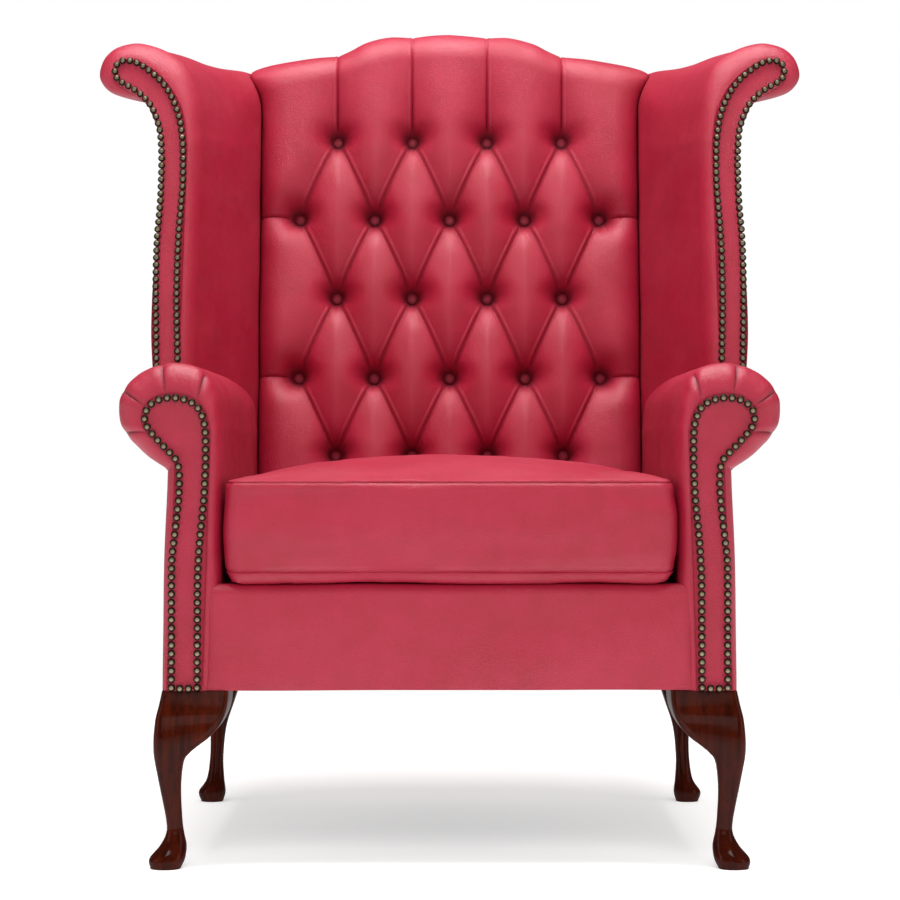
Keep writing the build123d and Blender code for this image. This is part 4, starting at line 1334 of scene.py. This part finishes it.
# %% [markdown]
# ## Front border and seat platform
#
# Under the cushion a border of leather runs from arm to arm. It is drawn over a padded edge at
# the top, and is fullest in its middle. Its ends follow the rounded fronts of the arms.

# %% Front border
BORDER_FRONT, BORDER_FOOT, BORDER_HEIGHT = 14, 203.3, 118
EDGE_BEHIND, EDGE_HEIGHT, EDGE_RADIUS = 26, 312.6, 12
# How far behind the toes, and height: over the padded edge, down behind it and over the rail.
BORDER_BACK = [
    (EDGE_BEHIND, EDGE_HEIGHT + EDGE_RADIUS), (69.8, 322.6), (69.8, 305.4), (40.4, 305.4),
    (40.4, BORDER_FOOT), (BORDER_FRONT, BORDER_FOOT),
]
BORDER_FULLNESS = 2.2


def border_rings():
    start = (BORDER_FRONT, BORDER_FOOT)
    profile = [start, *straight(start, (BORDER_FRONT, 312), 30)]
    for turn in np.linspace(0.1, pi / 2, 8):
        profile.append(
            (EDGE_BEHIND - EDGE_RADIUS * cos(turn), EDGE_HEIGHT + EDGE_RADIUS * sin(turn))
        )
    profile = np.array([*profile, *path(BORDER_BACK, (8, 3, 5, 14, 6))[:-1]])
    lies_back = np.clip((profile[:, 0] - ARM_FRONT - FACING) / ARM_NOSE, 0, 1)
    half = ARM_INSIDE - 0.6 + NOSE_INSET * (1 - np.sqrt(1 - (1 - lies_back) ** 2))
    in_front = np.clip((30 - profile[:, 0]) / 16, 0, 1)
    climb = np.clip((profile[:, 1] - FLOOR_OF_FRAME) / BORDER_HEIGHT, 0, 1)
    crown = BORDER_FULLNESS * np.sin(climb * pi) ** 0.6
    rings = []
    for share in np.sin(np.linspace(-pi / 2, pi / 2, 110)):
        middle = np.clip((1 - abs(share)) / 0.03, 0, 1)
        behind = profile[:, 0] - in_front * crown * middle**0.5
        rings.append(upright(share * half, behind, profile[:, 1]))
    return np.array(rings)


border = loft("front_border_leather", border_rings())
swell(border, 0.8 * ripples(read_points(border) * (0.4, 1, 1.2), 60, 8))
print(f"border: {litres(border):.1f} litres")
finish(border, leather, "chair", ["front_border"], 0.9)

# %% Seat platform
DECK_HALF, DECK_FRONT, DECK_CLEAR = 261.4, 70.4, 0.8
corners = [
    (-DECK_HALF, 304.4), (DECK_HALF, 304.4), (DECK_HALF, 319), (255, 325.2), (-255, 325.2),
    (-DECK_HALF, 319), (-DECK_HALF, 304.4),
]
outline = np.array(path(corners, (40, 3, 2, 40, 2, 3)))
rings = []
for share in np.linspace(0, 1, 40):
    behind = DECK_FRONT + share * (frame_face(outline[:, 1]) - DECK_CLEAR - DECK_FRONT)
    rings.append(upright(outline[:, 0], behind, outline[:, 1]))
deck = loft("seat_platform", rings)
finish(deck, lining, "chair", ["seat_deck"], 0.8)

# %% [markdown]
# ## Seat cushion
#
# The cushion is loose: a top and a bottom panel and a boxing between them, joined by two plain
# seams. It is laid up as loops, one above the other, close together at the seams. Then it is
# blown up: a coarser copy is simulated as cloth under pressure with its seams held, and each
# point of the fine one is carried along with the cloth next to it. That gives the crown, the
# fullness of the boxing and the drag lines near the corners.

# %% Loops of the cushion
CUSHION = (260.0, 266.5)
CUSHION_MIDDLE = 6.5 + CUSHION[1]
CUSHION_FLOOR, CUSHION_SEAMS = 326.2, (338.5, 440.0)
CORNER_RADIUS, SOFTER_INSIDE = 22, 12
CROWN = 1.2


def cushion_loop(inset, height):
    """A loop with round corners, this far inside the cushion's outline."""
    a, b = CUSHION[0] - inset, CUSHION[1] - inset
    shrunk = min(1.0, inset / 250)
    radius = (CORNER_RADIUS - min(inset, SOFTER_INSIDE)) * (1 - shrunk)
    radius = min(radius + 0.9 * min(a, b) * shrunk**1.5, min(a, b) * 0.995)
    middles = np.array([(1, -1), (1, 1), (-1, 1), (-1, -1)]) * (a - radius, b - radius)
    points = []
    for quarter, middle in enumerate(middles):
        for turn in np.linspace(-pi / 2, 0, 13, endpoint=False):
            angle = quarter * pi / 2 + turn
            points.append(middle + radius * np.array([cos(angle), sin(angle)]))
        out = radius * np.array([cos(quarter * pi / 2), sin(quarter * pi / 2)])
        points.extend(straight(middle + out, middles[(quarter + 1) % 4] + out, 64)[:-1])
    points = np.array(points)
    return upright(points[:, 0], CUSHION_MIDDLE + points[:, 1], height)


def cushion_levels():
    """Pairs of inset and height, from the middle of the bottom to the middle of the top."""
    low, high = CUSHION_SEAMS
    levels = [(inset, CUSHION_FLOOR) for inset in (252, 225, 190, 150, 110, 75, 50, 36, 27)]
    levels += [(20, 326.5), (14.5, 327.6), (10.4, 330), (7.4, 333.4), (5.6, 336.0), (4.6, 337.2)]
    levels += [(3.2, 338.1), (3.4, 338.9), (4.8, 339.9), (3.6, 342)]
    for share in np.linspace(0.04, 0.96, 24):
        levels.append((3.2 * (2 * share - 1) ** 2, low + share * (high - low)))
    levels += [(3.6, 437.6), (4.4, 439.0), (5.8, 440.0), (5.2, 440.9), (5.5, 442.2)]
    for inset, rise in (
        (6.4, 1.7), (8.5, 2.6), (12, 3.6), (17, 4.7), (24, 6.1), (34, 8.0), (46, 10.0),
        (60, 12.1), (78, 14.5), (100, 17.1), (128, 19.9), (160, 22.4), (195, 24.3),
        (225, 25.3), (252, 25.7),
    ):
        levels.append((inset, high + CROWN * rise))
    return levels


cushion_rings = np.array([cushion_loop(inset, height) for inset, height in cushion_levels()])
cushion = loft("seat_cushion_leather", cushion_rings)
print(f"cushion: {litres(cushion):.1f} litres, {len(cushion.data.vertices)} points")


# %% Blow the cushion up
VOXEL, FRAMES, FURTHEST = 8, 20, 9.0
CLOTH = {
    "use_pressure": True, "uniform_pressure_force": 4.0, "vertex_group_mass": "seams",
    "tension_stiffness": 25, "compression_stiffness": 20, "shear_stiffness": 8,
    "bending_stiffness": 0.8, "mass": 0.4,
}
SEAM_GRIP = 5


def blown(piece, held):
    """How far each point of a copy is moved by pressure, with the points near the seams held."""
    copy = piece.copy()
    copy.data = piece.data.copy()
    bpy.context.collection.objects.link(copy)
    select_only(copy)
    add_and_apply("REMESH", mode="VOXEL", voxel_size=VOXEL * MM)
    before = read_points(copy)
    grip = copy.vertex_groups.new(name="seams")
    for index in np.nonzero(held(before))[0]:
        grip.add([int(index)], 1.0, "REPLACE")
    bpy.ops.object.modifier_add(type="CLOTH")
    cloth = copy.modifiers[-1]
    for name, value in CLOTH.items():
        setattr(cloth.settings, name, value)
    cloth.settings.effector_weights.gravity = 0
    for frame_number in range(1, FRAMES + 1):
        bpy.context.scene.frame_set(frame_number)
    bpy.ops.object.modifier_apply(modifier=cloth.name)
    moved = read_points(copy) - before
    bpy.context.scene.frame_set(1)
    bpy.data.objects.remove(copy)
    far = np.linalg.norm(moved, axis=1, keepdims=True)
    return before, moved * np.minimum(1, FURTHEST / np.maximum(far, 1e-6))


def carry(piece, before, moved):
    """Move a piece's points as their nearest neighbours in the cloth were moved."""
    tree = kdtree.KDTree(len(before))
    for index, point in enumerate(before):
        tree.insert(point, index)
    tree.balance()
    points = read_points(piece)
    shift = np.zeros_like(points)
    for row, point in enumerate(points):
        near = tree.find_n(point, 6)
        weights = np.array([1 / (2.0 + distance) ** 2 for _, _, distance in near])
        shift[row] = weights @ moved[[index for _, index, _ in near]] / weights.sum()
    put_points(piece, points + shift)
    print(f"{piece.name}: blown up by as much as {np.abs(shift).max():.1f} mm")


def to_seam(points):
    """How far above or below its nearer seam each point is."""
    return np.minimum(*(np.abs(points[:, 2] - seam) for seam in CUSHION_SEAMS))


def near_seams(points):
    return (to_seam(points) < SEAM_GRIP) | (points[:, 2] < CUSHION_FLOOR + 1)


carry(cushion, *blown(cushion, near_seams))

# %% Puckers along the seams
points = read_points(cushion)
away = to_seam(points)
from_middle = np.abs(points[:, :2] + (0, TOES - CUSHION_MIDDLE)) / CUSHION
at_rim = from_middle.max(axis=1)
pucker = ripples(points * (1, 1, 0.22), 11, 9) * hump(away, 15) * (at_rim > 0.88)
drag = 1.2 * ripples(points, 85, 10) + 1.5 * ripples(points * (0.3, 0.3, 1.6), 42, 11)
swell(cushion, 0.55 * pucker + drag * np.clip(away / 14, 0, 1))

# %% The cushion's resting place between the arms, on the platform and the border
REST = 326.0
OVER_EDGE = EDGE_RADIUS + 0.9
points = read_points(cushion)
points[:, 0] = np.clip(points[:, 0], -261.5, 261.5)
points[:, 1] = np.clip(points[:, 1], 5.0 - TOES, 541.0 - TOES)
behind = points[:, 1] + TOES
points[:, 2] = np.maximum(points[:, 2], REST)
points[:, 2] -= 3.4 * np.clip((30 - behind) / 14, 0, 1) * np.clip((350 - points[:, 2]) / 22, 0, 1)
over_border = EDGE_HEIGHT + np.sqrt(np.maximum(OVER_EDGE**2 - (EDGE_BEHIND - behind) ** 2, 0))
on_edge = behind < EDGE_BEHIND
points[on_edge, 2] = np.maximum(points[on_edge, 2], over_border[on_edge])
put_points(cushion, points)
cushion.data.attributes.remove(cushion.data.attributes["tuck_shade"])
# Painted shade: a thin dark line along the top seam.
seam_shade = 0.18 * (points[:, 2] > 400) * hump(away, 0.7)
mark(cushion, "tuck_shade", seam_shade * (at_rim > 0.9))
finish(cushion, leather, "seat_cushion", ["seat_cushion_cover", "seat_cushion_core"], 0.85)

# %% [markdown]
# ## Legs
#
# The front legs are cabriole legs: a square block at the top, a knee that swells out at the
# corner, a slim ankle and a round pad foot. The rear legs curve back. A leg is a rounded
# square, carried up its height with its place and size taken from a soft curve.

# %% A rounded square, and a leg
def rounded_square(width, round_share, count=9):
    """Points round a square with rounded corners, from its middle."""
    half, radius = width / 2, width * round_share
    points = []
    for quarter in range(4):
        angle = quarter * pi / 2
        middle = np.array([cos(angle) - sin(angle), sin(angle) + cos(angle)]) * (half - radius)
        for turn in np.linspace(0, pi / 2, count):
            points.append(middle + radius * np.array([cos(angle + turn), sin(angle + turn)]))
    return np.array(points)


LEG = 202.6
FRONT_BLOCK, REAR_BLOCK = 76, 48
FRONT_PLACE, REAR_PLACE = (-328.6, 12), (-303, 617.5)
# Heights are shares of the leg, and the rest are shares of the block at its top.
FRONT_HEIGHTS = [
    1.0, 0.92, 0.85, 0.79, 0.734, 0.69, 0.65, 0.596, 0.45, 0.271, 0.192, 0.123, 0.054, 0.0,
]
OUTER = np.array([
    0.0, -0.045, -0.09, -0.112, -0.125, -0.127, -0.124, -0.105, -0.035, 0.05, 0.05, -0.04,
    -0.19, -0.17,
])
INNER = np.array([
    1.0, 0.985, 0.93, 0.84, 0.7, 0.545, 0.42, 0.32, 0.28, 0.296, 0.322, 0.36, 0.345, 0.28,
])
FRONT_ROUND = [
    0.08, 0.09, 0.1, 0.13, 0.17, 0.22, 0.28, 0.34, 0.42, 0.46, 0.46, 0.46, 0.47, 0.47,
]
REAR_LEG = [
    [1.0, 0.84, 0.67, 0.5, 0.3, 0.15, 0.065, 0.0],  # height
    [0.0, -0.06, -0.17, -0.3, -0.34, -0.37, -0.46, -0.46],  # across
    [0.0, 0.0, -0.05, -0.19, -0.33, -0.4, -0.44, -0.44],  # behind
    [1.0, 0.84, 0.62, 0.45, 0.38, 0.5, 0.76, 0.62],  # width
    [0.12, 0.16, 0.26, 0.38, 0.44, 0.46, 0.47, 0.47],  # how round
]


def leg_rings(place, block, columns):
    """Squares down the leg. The columns are height, across, behind, width and how round."""
    rings = []
    for height, across, behind, width, corner in soft_line(np.column_stack(columns), 9):
        x, y = (rounded_square(width * block, min(corner, 0.48)) + place).T
        rings.append(upright(x + across * block, y + behind * block, height * LEG))
    return np.array(rings)


middle = (OUTER + INNER) / 2
front_leg = [FRONT_HEIGHTS, middle, middle, INNER - OUTER, FRONT_ROUND]
for word, rings in (
    ("front", leg_rings(FRONT_PLACE, FRONT_BLOCK, front_leg)),
    ("rear", leg_rings(REAR_PLACE, REAR_BLOCK, REAR_LEG)),
):
    finish_both_sides(loft(f"left_{word}_cabriole", rings), mahogany, f"{word}_leg", angle=40)

# %% [markdown]
# ## What stays as the frame has it
#
# The timber frame, springs, clips and screws are hidden under the stuffing, or seen only from
# below. They keep their meshes and get the right finish.

# %% Finishes of the frame's own pieces
for name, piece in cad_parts.items():
    if name.endswith(("_rail", "_post", "_blocks", "_dowels")):
        own = beech
    elif name in ("seat_springs", "spring_clips", "leg_screws"):
        own = steel
    else:
        continue
    piece.data.materials.clear()
    piece.data.materials.append(own)

# %% [markdown]
# Two cloths are left. Straps of jute are woven over and under each other across the open back
# frame. Under the seat a black dust cover is tacked along the rails and cut away round the
# legs: a plain grid, whose corner faces are deleted, with a folded hem and a little sag.

# %% Back webbing
STRAP_WIDTH, STRAP_REACH, WEAVE = 50, -1.5, 0.74
STRAP_FACE = [(-1, -0.3), (-0.97, -0.7), (0, -0.74), (0.97, -0.7), (1, -0.3)]
STRAP_SECTION = np.array([*STRAP_FACE, *((-side, -thick) for side, thick in STRAP_FACE)])


def span(node):
    """The lowest and highest corner of one of the frame's pieces, in millimetres."""
    return [np.array(corner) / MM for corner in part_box(node)]


def strap_rings(first, last, phase):
    """A flat strap between two (across, up) places, waving through the straps it crosses."""
    first, last = np.array(first, float), np.array(last, float)
    along = (last - first) / np.linalg.norm(last - first)
    beside = np.array([along[1], -along[0]]) * STRAP_WIDTH / 2
    rings = []
    for share in np.linspace(0, 1, 72):
        across, up = (first + (last - first) * share + np.outer(STRAP_SECTION[:, 0], beside)).T
        wave = phase * WEAVE * cos(pi * (4 * share - 1))
        rings.append(raked(across, up, STRAP_REACH + wave + STRAP_SECTION[:, 1]))
    return np.array(rings)


lowest, highest = span("back_webbing")
half = highest[0]
low, high = ((corner[2] - FLOOR_OF_FRAME) / cos(RAKE) for corner in (lowest, highest))
straps = []
for place in range(4):
    up = (low + high) / 2 + (place - 1.5) * (high - low) / 4
    straps.append(loft(f"band_{place}", strap_rings((-half, up), (half, up), (-1) ** place)))
for place in range(3):
    x = (place - 1) * half / 2
    rings = strap_rings((x, low + 1), (x, high - 1), (-1) ** place)
    straps.append(loft(f"upright_{place}", rings))
webbing = joined("jute_straps", straps)
finish(webbing, jute, "chair", ["back_webbing"])
strap_length = float(4 * 2 * half + 3 * (high - low)) * MM
print(f"webbing: {strap_length:.2f} m of strap")

# %% Dust cover
COVER_TOP, SAG = 202.3, 5.0
HEM_WIDTH, HEM_DEPTH = 14, 0.5
CUT_SIDE, CUT_FRONT, CUT_BACK = 246.5, 92.5 - TOES, 589.0 - TOES
COVER_THICK = 0.6

(_, front, _), (half, back_edge, _) = span("dust_cover")
middle, half_deep = (front + back_edge) / 2, (back_edge - front) / 2


def lines_through(stops, counts):
    """Places of grid lines that fall on each stop, with so many steps from one to the next."""
    parts = [np.linspace(a, b, n + 1)[1:] for a, b, n in zip(stops, stops[1:], counts)]
    return np.concatenate([[stops[0]], *parts])


select_only()
bpy.ops.mesh.primitive_grid_add(x_subdivisions=62, y_subdivisions=60, size=1)
cover = named("black_dust_cover")
grid = np.rint((read_points(cover)[:, :2] * MM + 0.5) * (62, 60)).astype(int)
x = lines_through([-half, -CUT_SIDE, CUT_SIDE, half], (6, 50, 6))[grid[:, 0]]
y = lines_through([front, CUT_FRONT, CUT_BACK, back_edge], (6, 52, 2))[grid[:, 1]]
to_edge = np.minimum(half - np.abs(x), half_deep - np.abs(y - middle))
slack = (1 - (x / half) ** 2) * (1 - ((y - middle) / half_deep) ** 2)
z = COVER_TOP - SAG * slack - HEM_DEPTH * (to_edge < HEM_WIDTH)
put_points(cover, np.column_stack([x, y, z]))
edit_all("DESELECT")
bpy.ops.object.mode_set(mode="OBJECT")
for face in cover.data.polygons:
    face_x, face_y = abs(face.center.x / MM), face.center.y / MM
    face.select = face_x > CUT_SIDE and not CUT_FRONT <= face_y <= CUT_BACK
bpy.ops.object.mode_set(mode="EDIT")
bpy.ops.mesh.delete(type="FACE")
bpy.ops.object.mode_set(mode="OBJECT")
cut_away = 2 * (half - CUT_SIDE) * (CUT_FRONT - front + back_edge - CUT_BACK)
cloth_area = (2 * half * (back_edge - front) - cut_away) * MM * MM
swell(cover, 0.5 * ripples(read_points(cover), 60, 12))
add_and_apply("SOLIDIFY", thickness=COVER_THICK * MM)
finish(cover, dust_cloth, "chair", ["dust_cover"])
print(f"dust cover: {cloth_area:.2f} square metres")
